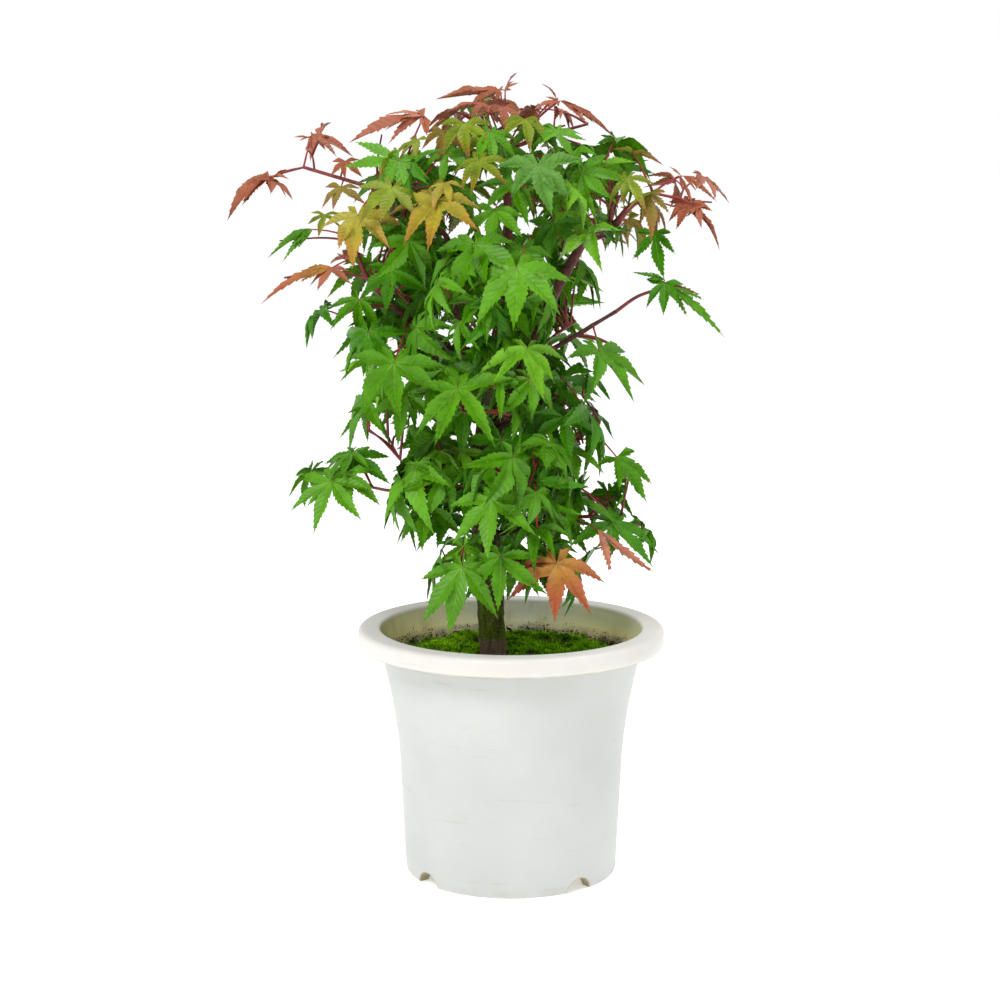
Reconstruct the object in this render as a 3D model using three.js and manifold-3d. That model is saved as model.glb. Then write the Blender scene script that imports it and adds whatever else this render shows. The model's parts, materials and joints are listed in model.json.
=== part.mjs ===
// A young Japanese maple in a round nursery pot: an upright trunk with a sawn top, thin boughs that fork from it,
// and a loose crown of foliage that is narrow at the foot and wide at the shoulder.
// Millimetres, +Z up, front towards -Y. The origin is the middle of the pot's underside, on the ground.

import * as THREE from "three";
import { mergeVertices } from "three/addons/utils/BufferGeometryUtils.js";
import Module from "manifold-3d";

// ---- Driving dimensions -------------------------------------------------------------------------------------

const GAP = 0.35; // clearance between solids that touch

// Pot
const POT_HEIGHT = 122;
const RIM_RADIUS = 75;
const RIM_DEPTH = 8.5;
const RIM_ROUND = 3.2;
const MOUTH_RADIUS = 64;
const WALL = 1.9;
const FOOT_RADIUS = 52;
const FOOT_WIDTH = 6;
const FOOT_ROUND = 1.2;
const WALL_SLOPE = 0.05; // outward lean of the straight lower wall
const BELL_START = 58; // height where the wall begins to flare out to the rim
const BELL_SPREAD = 7;
const BELL_POWER = 1.7;
const FLOOR_UNDERSIDE = 7;
const FLOOR_THICKNESS = 2;
const BOSS_RADIUS = 9;
const POT_SIDES = 36;
const WALL_STEPS = 5;
const NOTCH_COUNT = 4;
const NOTCH_WIDTH = 15;
const NOTCH_HEIGHT = 6.5;
const NOTCH_TURN = -51; // degrees from +X to the first notch of the foot ring
const DRAIN_COUNT = 6;
const DRAIN_RADIUS = 4.5;
const DRAIN_RING = 29;
const DRAIN_SIDES = 8;

// Soil and moss
const SOIL_TOP = 103.5;
const MOSS_THICKNESS = 3.4;
const MOSS_SWELL = 1.1;
const MOSS_MARGIN = 3.2;
const MOSS_SIDES = 24;
const MOSS_RINGS = 3;

// Trunk
const TRUNK_X = -9;
const TRUNK_SIDES = 12;
const TRUNK_STEPS = 11;
const FLARE_REACH = 2.6;
const FLARE_HEIGHT = 5;
const FLARE_LOBES = 3;

// Crown
const CROWN_X = -8; // the crown's middle line stands a little left of the pot's
const MASS_DETAIL = 3;
const TIP_DETAIL = 2;
const MASS_CLEARANCE = 0.8;
const UNEVENNESS = 0.1;
const FULLNESS = 1.05; // how far the inner masses swell into each other before they are parted
const LIMB_SIDES = 6;
const LIMB_STEPS = 5;

// ---- Materials ----------------------------------------------------------------------------------------------

const finish = (color, roughness) => () => new THREE.MeshStandardMaterial({ color, roughness, metalness: 0 });
const potPlastic = finish(0xe6e7e0, 0.42);
const darkSoil = finish(0x3a2d20, 0.95);
const greenMoss = finish(0x4c7a1e, 0.95);
const bark = finish(0x6a5546, 0.85);
const redShoot = finish(0x8c2f37, 0.6);
const greenLeaves = finish(0x2f8a2c, 0.6);
const bronzeLeaves = finish(0x8a7440, 0.6);
const redLeaves = finish(0xb4584a, 0.6);

// ---- Solids: joining and cutting ----------------------------------------------------------------------------

const wasm = await Module();
wasm.setup();

/** Leaves only positions, with shared vertices merged, as a closed solid needs. */
function welded(geometry) {
  const bare = geometry.clone();
  bare.deleteAttribute("normal");
  bare.deleteAttribute("uv");
  return mergeVertices(bare, 1e-4);
}

function toSolid(geometry) {
  const bare = welded(geometry);
  const mesh = new wasm.Mesh({
    numProp: 3,
    vertProperties: new Float32Array(bare.attributes.position.array),
    triVerts: new Uint32Array(bare.index.array),
  });
  return new wasm.Manifold(mesh);
}

function toGeometry(solid) {
  const mesh = solid.getMesh();
  const geometry = new THREE.BufferGeometry();
  geometry.setAttribute("position", new THREE.BufferAttribute(new Float32Array(mesh.vertProperties), 3));
  geometry.setIndex(new THREE.BufferAttribute(new Uint32Array(mesh.triVerts), 1));
  geometry.computeVertexNormals();
  return geometry;
}

/** The geometry with every cutter taken out of it. */
function cut(geometry, cutters) {
  const solid = cutters.reduce((left, cutter) => left.subtract(toSolid(cutter)), toSolid(geometry));
  return toGeometry(solid);
}

// ---- The group and its named meshes -------------------------------------------------------------------------

const group = new THREE.Group();

function place(name, geometry, material) {
  const mesh = new THREE.Mesh(geometry, material());
  mesh.name = name;
  group.add(mesh);
}

/** A closed profile of [radius, height] pairs, turned about the vertical axis. */
function turned(profile, sides) {
  const points = profile.map(([radius, height]) => new THREE.Vector2(radius, height));
  return new THREE.LatheGeometry(points, sides).rotateX(Math.PI / 2);
}

/** Steps of a count from 0 to 1, both ends included. */
function fractions(count) {
  return Array.from({ length: count + 1 }, (_, step) => step / count);
}

// ---- Pot ----------------------------------------------------------------------------------------------------

const RIM_UNDERSIDE = POT_HEIGHT - RIM_DEPTH;
const FLOOR_TOP = FLOOR_UNDERSIDE + FLOOR_THICKNESS;
const POT_TURN = Math.PI / POT_SIDES;

/** Outer radius of the pot's wall at a height: a straight taper that turns into a bell under the rim. */
function wallRadius(height) {
  const bell = Math.max(0, (height - BELL_START) / (RIM_UNDERSIDE - BELL_START));
  return FOOT_RADIUS + WALL_SLOPE * height + BELL_SPREAD * bell ** BELL_POWER;
}

/** Heights at which the inner wall and the soil against it bend, from the rim down. */
const innerHeights = fractions(WALL_STEPS).map((f) => RIM_UNDERSIDE - f * (RIM_UNDERSIDE - FLOOR_TOP));

/** A quarter turn of a rounded edge about a centre, in three points, between two angles in degrees. */
function roundedEdge(centreRadius, centreHeight, radius, from, to) {
  return [from, (from + to) / 2, to].map((degrees) => {
    const angle = THREE.MathUtils.degToRad(degrees);
    return [centreRadius + radius * Math.cos(angle), centreHeight + radius * Math.sin(angle)];
  });
}

function potProfile() {
  const outerHeights = fractions(WALL_STEPS).map((f) => FOOT_ROUND + f * (RIM_UNDERSIDE - FOOT_ROUND));
  const outerWall = outerHeights.map((height) => [wallRadius(height), height]);
  const rim = [
    ...roundedEdge(RIM_RADIUS - RIM_ROUND, RIM_UNDERSIDE + RIM_ROUND, RIM_ROUND, -90, 0),
    ...roundedEdge(RIM_RADIUS - RIM_ROUND, POT_HEIGHT - RIM_ROUND, RIM_ROUND, 0, 90),
    [MOUTH_RADIUS + 1, POT_HEIGHT],
    [MOUTH_RADIUS, POT_HEIGHT - 1],
  ];
  const innerWall = innerHeights.map((height) => [wallRadius(height) - WALL, height]);
  return [
    [0, 0],
    [BOSS_RADIUS, 0],
    [BOSS_RADIUS, FLOOR_UNDERSIDE],
    [FOOT_RADIUS - FOOT_WIDTH, FLOOR_UNDERSIDE],
    [FOOT_RADIUS - FOOT_WIDTH, 0],
    [FOOT_RADIUS - FOOT_ROUND, 0],
    ...outerWall,
    ...rim,
    ...innerWall,
    [0, FLOOR_TOP],
  ];
}

/** An arched notch that lets water out under the foot ring. */
function footNotch(index) {
  const half = NOTCH_WIDTH / 2;
  const arch = new THREE.Shape();
  arch.moveTo(-half, -1);
  arch.lineTo(half, -1);
  arch.lineTo(half * 0.85, NOTCH_HEIGHT * 0.6);
  arch.lineTo(half * 0.55, NOTCH_HEIGHT);
  arch.lineTo(-half * 0.55, NOTCH_HEIGHT);
  arch.lineTo(-half * 0.85, NOTCH_HEIGHT * 0.6);
  arch.closePath();
  const depth = FOOT_WIDTH * 2.5;
  const notch = new THREE.ExtrudeGeometry(arch, { depth, bevelEnabled: false });
  notch.rotateX(Math.PI / 2);
  notch.translate(0, FOOT_RADIUS - FOOT_WIDTH * 1.5 + depth, 0);
  const angle = NOTCH_TURN - 90 + (index * 360) / NOTCH_COUNT;
  return notch.rotateZ(THREE.MathUtils.degToRad(angle));
}

function drainHole(index) {
  const hole = new THREE.CylinderGeometry(DRAIN_RADIUS, DRAIN_RADIUS, FLOOR_THICKNESS * 3, DRAIN_SIDES);
  hole.rotateX(Math.PI / 2);
  hole.translate(DRAIN_RING, 0, FLOOR_UNDERSIDE + FLOOR_THICKNESS / 2);
  return hole.rotateZ((index * 2 * Math.PI) / DRAIN_COUNT);
}

const notches = Array.from({ length: NOTCH_COUNT }, (_, index) => footNotch(index));
const drains = Array.from({ length: DRAIN_COUNT }, (_, index) => drainHole(index));
place("pot", cut(turned(potProfile(), POT_SIDES).rotateZ(POT_TURN), [...notches, ...drains]), potPlastic);

// ---- Limbs: a cylinder bent along a curve, with its own radius at each step ----------------------------------

const point = (coordinates) => new THREE.Vector3(...coordinates);

/** Value between [place, value] pairs that are in order of place. */
function between(pairs, where) {
  const after = pairs.findIndex(([place]) => place >= where);
  if (after === 0) return pairs[0][1];
  if (after === -1) return pairs.at(-1)[1];
  const [[fromPlace, from], [toPlace, to]] = [pairs[after - 1], pairs[after]];
  return THREE.MathUtils.mapLinear(where, fromPlace, toPlace, from, to);
}

/** radiusAt(position on the curve, angle round it, fraction along it) gives the limb's surface. */
function bentLimb(route, sides, steps, radiusAt) {
  const curve = new THREE.CatmullRomCurve3(route.map(point));
  const frames = curve.computeFrenetFrames(steps, false);
  const limb = new THREE.CylinderGeometry(1, 1, 1, sides, steps);
  const positions = limb.attributes.position;
  for (let vertex = 0; vertex < positions.count; vertex++) {
    const along = 0.5 - positions.getY(vertex);
    const step = Math.round(along * steps);
    const across = new THREE.Vector2(positions.getX(vertex), positions.getZ(vertex));
    const middle = curve.getPointAt(step / steps);
    const radius = across.length() * radiusAt(middle, across.angle(), along);
    const surface = middle.clone();
    surface.addScaledVector(frames.normals[step], radius * Math.cos(across.angle()));
    surface.addScaledVector(frames.binormals[step], radius * Math.sin(across.angle()));
    positions.setXYZ(vertex, surface.x, surface.y, surface.z);
  }
  return welded(limb);
}

// ---- Trunk --------------------------------------------------------------------------------------------------

const TRUNK_ROUTE = [
  [TRUNK_X, 0, SOIL_TOP + GAP],
  [TRUNK_X, 0, 112],
  [-11.7, 0.5, 159],
  [-13.9, 0, 184],
  [-13.4, -0.5, 212],
  [-11.2, 0, 236],
];
const TRUNK_RADII = [
  [SOIL_TOP, 6.1],
  [159, 6.8],
  [186, 5.8],
  [212, 4.2],
  [236, 3],
];

function trunkRadius(middle, angle, extra) {
  const height = middle.z - SOIL_TOP;
  const flare = FLARE_REACH * Math.exp(-height / FLARE_HEIGHT) * (1 + 0.35 * Math.cos(FLARE_LOBES * angle));
  return between(TRUNK_RADII, middle.z) + flare + extra;
}

const trunkSolid = (extra) =>
  bentLimb(TRUNK_ROUTE, TRUNK_SIDES, TRUNK_STEPS, (middle, angle) => trunkRadius(middle, angle, extra));

/** The trunk with a little room round it, past both its ends, to cut its neighbours with. */
function trunkRoom() {
  const route = [[TRUNK_X, 0, SOIL_TOP - 1], ...TRUNK_ROUTE.slice(1, -1), [-11.1, 0, 237.2]];
  return bentLimb(route, TRUNK_SIDES, TRUNK_STEPS, (middle, angle) => trunkRadius(middle, angle, GAP * 2));
}

place("trunk", trunkSolid(0), bark);

// ---- Soil and moss ------------------------------------------------------------------------------------------

const soilBends = innerHeights.filter((height) => height > FLOOR_TOP && height < SOIL_TOP).reverse();
const soilHeights = [FLOOR_TOP + GAP, ...soilBends, SOIL_TOP];
const soilProfile = [
  [0, FLOOR_TOP + GAP],
  ...soilHeights.map((height) => [wallRadius(height) - WALL - 2 * GAP, height]),
  [0, SOIL_TOP],
];
place("soil", turned(soilProfile, POT_SIDES).rotateZ(POT_TURN), darkSoil);

/** A low uneven mat of moss that stops short of the pot's wall. */
function mossMat() {
  const radius = wallRadius(SOIL_TOP) - WALL - MOSS_MARGIN;
  const top = fractions(MOSS_RINGS).map((f) => [radius * (1 - f), MOSS_THICKNESS]);
  const body = turned([[0, 0], [radius, 0], ...top], MOSS_SIDES);
  const positions = body.attributes.position;
  for (let vertex = 0; vertex < positions.count; vertex++) {
    const [x, y, z] = [positions.getX(vertex), positions.getY(vertex), positions.getZ(vertex)];
    const swell = Math.sin(x * 0.11 + 1) * Math.cos(y * 0.13 - 2) + 0.5 * Math.sin(x * 0.29 + y * 0.21);
    const edge = Math.cos(5 * Math.atan2(y, x) + 1) * Math.hypot(x, y) / radius;
    const reach = 1 + 0.025 * edge;
    positions.setXYZ(vertex, x * reach, y * reach, z > 1 ? z + MOSS_SWELL * swell : z);
  }
  return body.translate(0, 0, SOIL_TOP + GAP);
}

place("moss", cut(mossMat(), [trunkRoom()]), greenMoss);

// ---- Boughs: each one tapering limb, from the trunk or a mass to where it enters a mass ----------------------

const BOUGHS = [
  { name: "leader", route: [[-10, 1, 222], [-6, 5, 240], [-4, 3, 268], [-1, 1, 300], [-3, 0, 352]], radii: [3, 1.7] },
  { name: "bough_left", route: [[-12, 0, 219], [-21, -2, 234], [-33, -3, 252], [-44, -5, 268]], radii: [2.6, 1.8] },
  { name: "bough_inner_left", route: [[-11, -1, 226], [-21, -5, 250], [-27, -6, 280], [-31, -9, 312]], radii: [2.2, 1.2] },
  { name: "bough_right", route: [[-10, 1, 216], [4, 3, 244], [20, 3, 282], [36, 1, 312]], radii: [3.1, 2.2] },
  { name: "bough_back_left", route: [[-11, 2, 213], [-19, 12, 238], [-32, 26, 258]], radii: [2.3, 1.5] },
  { name: "bough_back_right", route: [[-9, 2, 210], [1, 14, 234], [15, 27, 256]], radii: [2.4, 1.5] },
  { name: "bough_waist_right", route: [[-10, -1, 216], [3, -4, 226], [21, -5, 236]], radii: [1.7, 1] },
  { name: "bough_low_left", route: [[-14, -1, 178], [-20, -2, 183], [-28, -5, 187]], radii: [1.8, 1.2] },
  { name: "bough_low_right", route: [[-12, 0, 166], [4, -1, 170], [27, -1, 176]], radii: [1.7, 1.1] },
  { name: "bough_low_front", route: [[-12, -2, 162], [-10, -13, 160], [-15, -26, 153]], radii: [1.5, 1] },
  { name: "shoot_upper_left", route: [[-54, -14, 331], [-74, -10, 337], [-98, -7, 344]], radii: [1.1, 0.8] },
  { name: "shoot_left", route: [[-58, -8, 280], [-69, -6, 293], [-76, -5, 311]], radii: [1.5, 0.9] },
  { name: "shoot_right", route: [[50, -3, 318], [57, -3, 326], [67, -4, 332]], radii: [1.8, 1.1] },
  { name: "shoot_low_left", route: [[-45, -9, 194], [-57, -7, 190], [-67, -5, 191]], radii: [0.9, 0.7] },
  { name: "shoot_mid_right", route: [[50, -5, 276], [60, -5, 283], [71, -6, 287]], radii: [0.9, 0.7] },
];

function boughSolid({ route, radii: [from, to] }, extra) {
  return bentLimb(route, LIMB_SIDES, LIMB_STEPS, (middle, angle, along) => from + (to - from) * along + extra);
}

const boughRooms = BOUGHS.map((bough) => boughSolid(bough, GAP * 1.6));

for (const [index, bough] of BOUGHS.entries()) {
  const isShoot = bough.name.startsWith("shoot");
  const neighbours = isShoot ? [] : [trunkRoom(), ...boughRooms.slice(0, index)];
  place(bough.name, cut(boughSolid(bough, 0), neighbours), isShoot ? redShoot : bark);
}

// ---- Masses of foliage --------------------------------------------------------------------------------------
// Each mass stands out from the crown's middle line, in a direction turned from +X, and droops outwards.
// half is its half length outwards, half width and half thickness.

const MASSES = [
  // skirt over the pot
  { name: "skirt_front_left", turn: -105, out: 38, height: 152, half: [19, 20, 16], droop: 20 },
  { name: "skirt_front_right", turn: -55, out: 43, height: 153, half: [20, 21, 12], droop: 22, leaves: redLeaves },
  // lower crown
  { name: "low_left", turn: 197, out: 31, height: 183, half: [22, 26, 25], droop: 15 },
  { name: "low_front", turn: -72, out: 34, height: 193, half: [22, 28, 25], droop: 15 },
  { name: "low_right", turn: -3, out: 50, height: 176, half: [27, 28, 26], droop: 32 },
  { name: "low_back_left", turn: 132, out: 35, height: 184, half: [25, 28, 26], droop: 15 },
  { name: "low_back_right", turn: 62, out: 37, height: 178, half: [25, 28, 26], droop: 15 },
  { name: "low_left_tip", turn: 184, out: 74, height: 193, half: [25, 20, 12], droop: 12 },
  // waist
  { name: "waist_front", turn: -112, out: 33, height: 233, half: [22, 30, 24], droop: 10 },
  { name: "waist_left", turn: 179, out: 46, height: 220, half: [24, 23, 17], droop: 28 },
  { name: "waist_right", turn: -5, out: 39, height: 222, half: [27, 27, 21], droop: 12 },
  { name: "waist_back", turn: 96, out: 35, height: 230, half: [26, 34, 25], droop: 10 },
  // middle crown
  { name: "mid_left", turn: 190, out: 52, height: 252, half: [24, 23, 17], droop: 25 },
  { name: "mid_front", turn: -86, out: 36, height: 283, half: [24, 35, 28], droop: 5 },
  { name: "mid_right", turn: -4, out: 49, height: 253, half: [26, 27, 20], droop: 22 },
  { name: "mid_back_left", turn: 142, out: 43, height: 271, half: [28, 30, 29], droop: 10 },
  { name: "mid_back_right", turn: 50, out: 43, height: 268, half: [28, 30, 29], droop: 10 },
  { name: "mid_upper_left", turn: 195, out: 45, height: 295, half: [27, 26, 22], droop: 12 },
  { name: "left_tip_low", turn: 182, out: 73, height: 270, half: [19, 17, 12], droop: 38 },
  { name: "left_tip_red", turn: 184, out: 92, height: 293, half: [23, 14, 7], droop: 12, leaves: redLeaves },
  { name: "left_tip_green", turn: 181, out: 97, height: 309, half: [18, 12, 7], droop: 24 },
  { name: "right_tip_green", turn: -5, out: 90, height: 284, half: [24, 18, 10], droop: 38 },
  // shoulder
  { name: "upper_left", turn: 212, out: 41, height: 330, half: [29, 27, 22], droop: 5 },
  { name: "upper_front", turn: -77, out: 35, height: 333, half: [24, 33, 26], droop: 0 },
  { name: "upper_right", turn: -5, out: 52, height: 331, half: [31, 30, 23], droop: 18 },
  { name: "upper_back_left", turn: 137, out: 43, height: 325, half: [29, 31, 27], droop: 5 },
  { name: "upper_back_right", turn: 47, out: 43, height: 321, half: [29, 31, 27], droop: 5 },
  { name: "back_tip_left", turn: 121, out: 86, height: 326, half: [22, 17, 9], droop: 22, leaves: bronzeLeaves },
  { name: "back_tip", turn: 86, out: 80, height: 296, half: [20, 20, 10], droop: 25 },
  { name: "back_tip_right", turn: 47, out: 88, height: 306, half: [22, 18, 9], droop: 25, leaves: bronzeLeaves },
  { name: "right_tip_red", turn: -4, out: 91, height: 328, half: [26, 20, 14], droop: 36, leaves: redLeaves },
  { name: "left_tip_high", turn: 183, out: 80, height: 352, half: [19, 16, 8], droop: -4, leaves: redLeaves },
  { name: "left_tip_far", turn: 184, out: 113, height: 336, half: [20, 11, 6], droop: 26, leaves: redLeaves },
  // top
  { name: "top_left", turn: 205, out: 7, height: 369, half: [25, 24, 16], droop: 0, leaves: bronzeLeaves },
  { name: "top_right", turn: 6, out: 30, height: 364, half: [25, 24, 16], droop: 18, leaves: bronzeLeaves },
  { name: "top_back", turn: 97, out: 34, height: 357, half: [23, 30, 18], droop: 8, leaves: bronzeLeaves },
  { name: "top_left_tip", turn: 186, out: 45, height: 361, half: [24, 16, 11], droop: 0, leaves: redLeaves },
];

/** A repeatable stream of numbers from 0 to 1. */
function dealer(seed) {
  let state = seed;
  return () => {
    state = (state * 1664525 + 1013904223) % 4294967296;
    return state / 4294967296;
  };
}

/** Three slow waves over the directions, different for each seed, that make a mass uneven. */
function unevenness(seed) {
  const deal = dealer(seed);
  const waves = Array.from({ length: 3 }, () => ({
    axis: new THREE.Vector3(deal() - 0.5, deal() - 0.5, deal() - 0.5).normalize(),
    rate: 2.5 + 3 * deal(),
    shift: 2 * Math.PI * deal(),
  }));
  return (direction) =>
    waves.reduce((sum, { axis, rate, shift }) => sum + Math.sin(rate * axis.dot(direction) + shift), 0);
}

/** Where a mass stands, how it is turned, how large it grows and how finely it is divided. */
function stance({ name, turn, out, height, droop, half }) {
  const { degToRad } = THREE.MathUtils;
  const angle = degToRad(turn);
  const centre = new THREE.Vector3(CROWN_X + out * Math.cos(angle), out * Math.sin(angle), height);
  const rotation = new THREE.Quaternion().setFromEuler(new THREE.Euler(0, degToRad(droop), angle, "ZYX"));
  const isTip = name.includes("tip");
  const detail = isTip ? TIP_DETAIL : MASS_DETAIL;
  return { centre, rotation, half: point(half).multiplyScalar(isTip ? 1 : FULLNESS), detail };
}

/** How far an evenly shaped mass reaches from its centre in a direction. */
function reach({ rotation, half }, direction) {
  return direction.clone().applyQuaternion(rotation.clone().invert()).multiply(half).length();
}

/** The planes that part a mass from its neighbours, each a normal and a distance from the mass's centre. */
function partings(own, others) {
  return others.map((other) => {
    const normal = other.centre.clone().sub(own.centre);
    const apart = normal.length();
    normal.normalize();
    const ownReach = reach(own, normal);
    const otherReach = reach(other, normal);
    const spare = apart - ownReach - otherReach;
    const share = spare > 0 ? ownReach + spare / 2 : (apart * ownReach) / (ownReach + otherReach);
    return { normal, limit: share - MASS_CLEARANCE / 2 };
  });
}

function massSolid(own, others, seed) {
  const uneven = unevenness(seed);
  const planes = partings(own, others);
  const mass = welded(new THREE.OctahedronGeometry(1, own.detail));
  const positions = mass.attributes.position;
  for (let vertex = 0; vertex < positions.count; vertex++) {
    const direction = new THREE.Vector3().fromBufferAttribute(positions, vertex);
    const swell = 1 + UNEVENNESS * uneven(direction);
    const arm = direction.multiply(own.half).multiplyScalar(swell).applyQuaternion(own.rotation);
    const kept = planes.map(({ normal, limit }) => limit / Math.max(arm.dot(normal), limit));
    arm.multiplyScalar(Math.min(1, ...kept)).add(own.centre);
    positions.setXYZ(vertex, arm.x, arm.y, arm.z);
  }
  return mass;
}

const stances = MASSES.map(stance);

for (const [index, { name, leaves = greenLeaves }] of MASSES.entries()) {
  const others = stances.filter((_, other) => other !== index);
  const mass = massSolid(stances[index], others, index + 1);
  place(`leaves_${name}`, cut(mass, [trunkRoom(), ...boughRooms]), leaves);
}

export default group;
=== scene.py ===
import json
import math
import random

import bpy
import numpy as np
from mathutils import Matrix, Vector, noise
from mathutils.bvhtree import BVHTree


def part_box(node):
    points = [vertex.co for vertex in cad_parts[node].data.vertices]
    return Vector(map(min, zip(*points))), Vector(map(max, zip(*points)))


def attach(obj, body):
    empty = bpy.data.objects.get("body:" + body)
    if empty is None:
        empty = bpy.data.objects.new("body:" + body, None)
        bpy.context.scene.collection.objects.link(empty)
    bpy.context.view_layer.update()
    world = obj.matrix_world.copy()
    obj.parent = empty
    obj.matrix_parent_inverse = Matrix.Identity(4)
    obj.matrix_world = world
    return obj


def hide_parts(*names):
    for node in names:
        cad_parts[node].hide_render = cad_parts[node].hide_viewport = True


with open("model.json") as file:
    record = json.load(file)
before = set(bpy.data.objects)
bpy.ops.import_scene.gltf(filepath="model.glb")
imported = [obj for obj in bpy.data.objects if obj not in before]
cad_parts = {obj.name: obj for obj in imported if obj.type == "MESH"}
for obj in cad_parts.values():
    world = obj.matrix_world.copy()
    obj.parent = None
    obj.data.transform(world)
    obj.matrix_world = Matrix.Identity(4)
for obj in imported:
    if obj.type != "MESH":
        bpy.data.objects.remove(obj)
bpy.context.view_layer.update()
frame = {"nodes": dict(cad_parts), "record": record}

# ---- Studio --------------------------------------------------------------------------------------
# The young tree stands on a plain white floor under an even white light, with a large soft key lamp high on
# the left and a weaker one above. The camera looks slightly down on it from the front, through a long lens.

MM = 0.001
CAMERA_PLACE = Vector((-5.4, -1028, 346)) * MM
CAMERA_PITCH = math.radians(8.95)
CAMERA_LENS = 77.04

camera = bpy.data.objects.new("camera", bpy.data.cameras.new("camera"))
camera.data.lens = CAMERA_LENS
camera.data.sensor_width = 36
camera.data.clip_end = 200
camera.location = CAMERA_PLACE
camera.rotation_euler = (math.pi / 2 - CAMERA_PITCH, 0, 0)
bpy.context.scene.collection.objects.link(camera)
bpy.context.scene.camera = camera

world = bpy.data.worlds.new("white_room")
world.use_nodes = True
lit = world.node_tree.nodes["Background"]
lit.inputs["Color"].default_value = (1, 1, 1, 1)
lit.inputs["Strength"].default_value = 0.66
seen = world.node_tree.nodes.new("ShaderNodeBackground")
seen.inputs["Color"].default_value = (1, 1, 1, 1)
rays = world.node_tree.nodes.new("ShaderNodeLightPath")
either = world.node_tree.nodes.new("ShaderNodeMixShader")
world.node_tree.links.new(rays.outputs["Is Camera Ray"], either.inputs[0])
world.node_tree.links.new(lit.outputs[0], either.inputs[1])
world.node_tree.links.new(seen.outputs[0], either.inputs[2])
world.node_tree.links.new(either.outputs[0], world.node_tree.nodes["World Output"].inputs[0])
bpy.context.scene.world = world
bpy.context.scene.view_settings.view_transform = "Standard"


def soft_lamp(name, place, size, power):
    """A square lamp that shines at the middle of the crown."""
    lamp = bpy.data.objects.new(name, bpy.data.lights.new(name, "AREA"))
    lamp.data.size = size
    lamp.data.energy = power
    lamp.location = place
    aim = Vector((0, 0, 0.22)) - lamp.location
    lamp.rotation_euler = aim.to_track_quat("-Z", "Y").to_euler()
    bpy.context.scene.collection.objects.link(lamp)


soft_lamp("key_lamp", (-0.7, -1.2, 1.5), 0.5, 16)
soft_lamp("top_lamp", (0.5, 0.2, 1.7), 0.9, 9)


def only(*pieces):
    """Selects these objects and nothing else, and makes the first one active."""
    bpy.ops.object.select_all(action="DESELECT")
    for piece in pieces:
        piece.select_set(True)
    bpy.context.view_layer.objects.active = pieces[0]


class Value:
    """A socket in a finish's nodes. Arithmetic on it adds Math nodes."""

    def __init__(self, finish, socket):
        self.finish = finish
        self.socket = socket

    def math(self, operation, *values):
        return self.finish.add("ShaderNodeMath", {"operation": operation}, dict(enumerate(values)))

    def __add__(self, other):
        return self.math("ADD", self, other)

    def __sub__(self, other):
        return self.math("SUBTRACT", self, other)

    def __rsub__(self, other):
        return self.math("SUBTRACT", other, self)

    def __mul__(self, other):
        return self.math("MULTIPLY", self, other)

    def __truediv__(self, other):
        return self.math("DIVIDE", self, other)

    def __pow__(self, other):
        return self.math("POWER", self, other)

    def __abs__(self):
        return self.math("ABSOLUTE", self)

    __radd__ = __add__
    __rmul__ = __mul__

    def ramp(self, low, high):
        """0 below low, 1 above high and a straight line between. low may be the larger."""
        sockets = {0: self, 1: low, 2: high, 3: 0.0, 4: 1.0}
        return self.finish.add("ShaderNodeMapRange", {"clamp": True}, sockets)


class Finish:
    """A material whose nodes are added one at a time, with a plain Principled shader at its end."""

    def __init__(self, name, roughness, **constants):
        self.material = bpy.data.materials.new(name)
        self.material.use_nodes = True
        self.tree = self.material.node_tree
        self.shader = self.tree.nodes["Principled BSDF"]
        self.shader.inputs["Roughness"].default_value = roughness
        for socket, value in constants.items():
            self.shader.inputs[socket.replace("_", " ").title().replace("Ior", "IOR")].default_value = value

    def feed(self, socket, value):
        if isinstance(value, Value):
            self.tree.links.new(value.socket, socket)
        else:
            socket.default_value = value

    def add(self, kind, settings, sockets, output=0):
        """Adds a node: first its settings, then the values or links of its sockets. Returns one output."""
        node = self.tree.nodes.new(kind)
        for setting, value in settings.items():
            setattr(node, setting, value)
        for socket, value in sockets.items():
            self.feed(node.inputs[socket], value)
        return Value(self, node.outputs[output])

    def place(self):
        """Object coordinates, in metres."""
        return self.add("ShaderNodeTexCoord", {}, {}, "Object")

    def axes(self, vector):
        """The three numbers of a vector."""
        split = self.add("ShaderNodeSeparateXYZ", {}, {0: vector}).socket.node
        return [Value(self, socket) for socket in split.outputs]

    def stretched(self, scale):
        """Object coordinates with its own scale along each axis."""
        return self.add("ShaderNodeMapping", {}, {"Vector": self.place(), "Scale": scale})

    def noise(self, vector, scale, detail=3.0, roughness=0.55):
        settings = {"noise_dimensions": "3D"}
        sockets = {"Vector": vector, "Scale": scale, "Detail": detail, "Roughness": roughness}
        return self.add("ShaderNodeTexNoise", settings, sockets)

    def blend(self, factor, first, second):
        """A mix of two colours."""
        settings = {"data_type": "RGBA"}
        return self.add("ShaderNodeMix", settings, {0: factor, 6: first, 7: second}, 2)

    def bump(self, height, distance, strength=1.0):
        sockets = {"Height": height, "Distance": distance, "Strength": strength}
        self.feed(self.shader.inputs["Normal"], self.add("ShaderNodeBump", {}, sockets))

    def colour(self, value):
        self.feed(self.shader.inputs["Base Color"], value)

    def rough(self, value):
        self.feed(self.shader.inputs["Roughness"], value)


def rgb(red, green, blue):
    return (red, green, blue, 1.0)


bpy.ops.mesh.primitive_circle_add(vertices=64, radius=60, fill_type="NGON", location=(0, 0, 0))
floor = bpy.context.object
floor.name = "floor"
floor_finish = Finish("white_floor", 0.9, specular_ior_level=0.1, emission_strength=0.40)
floor_finish.colour(rgb(0.93, 0.93, 0.93))
floor_finish.shader.inputs["Emission Color"].default_value = rgb(1, 1, 1)
floor.data.materials.append(floor_finish.material)

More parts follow.
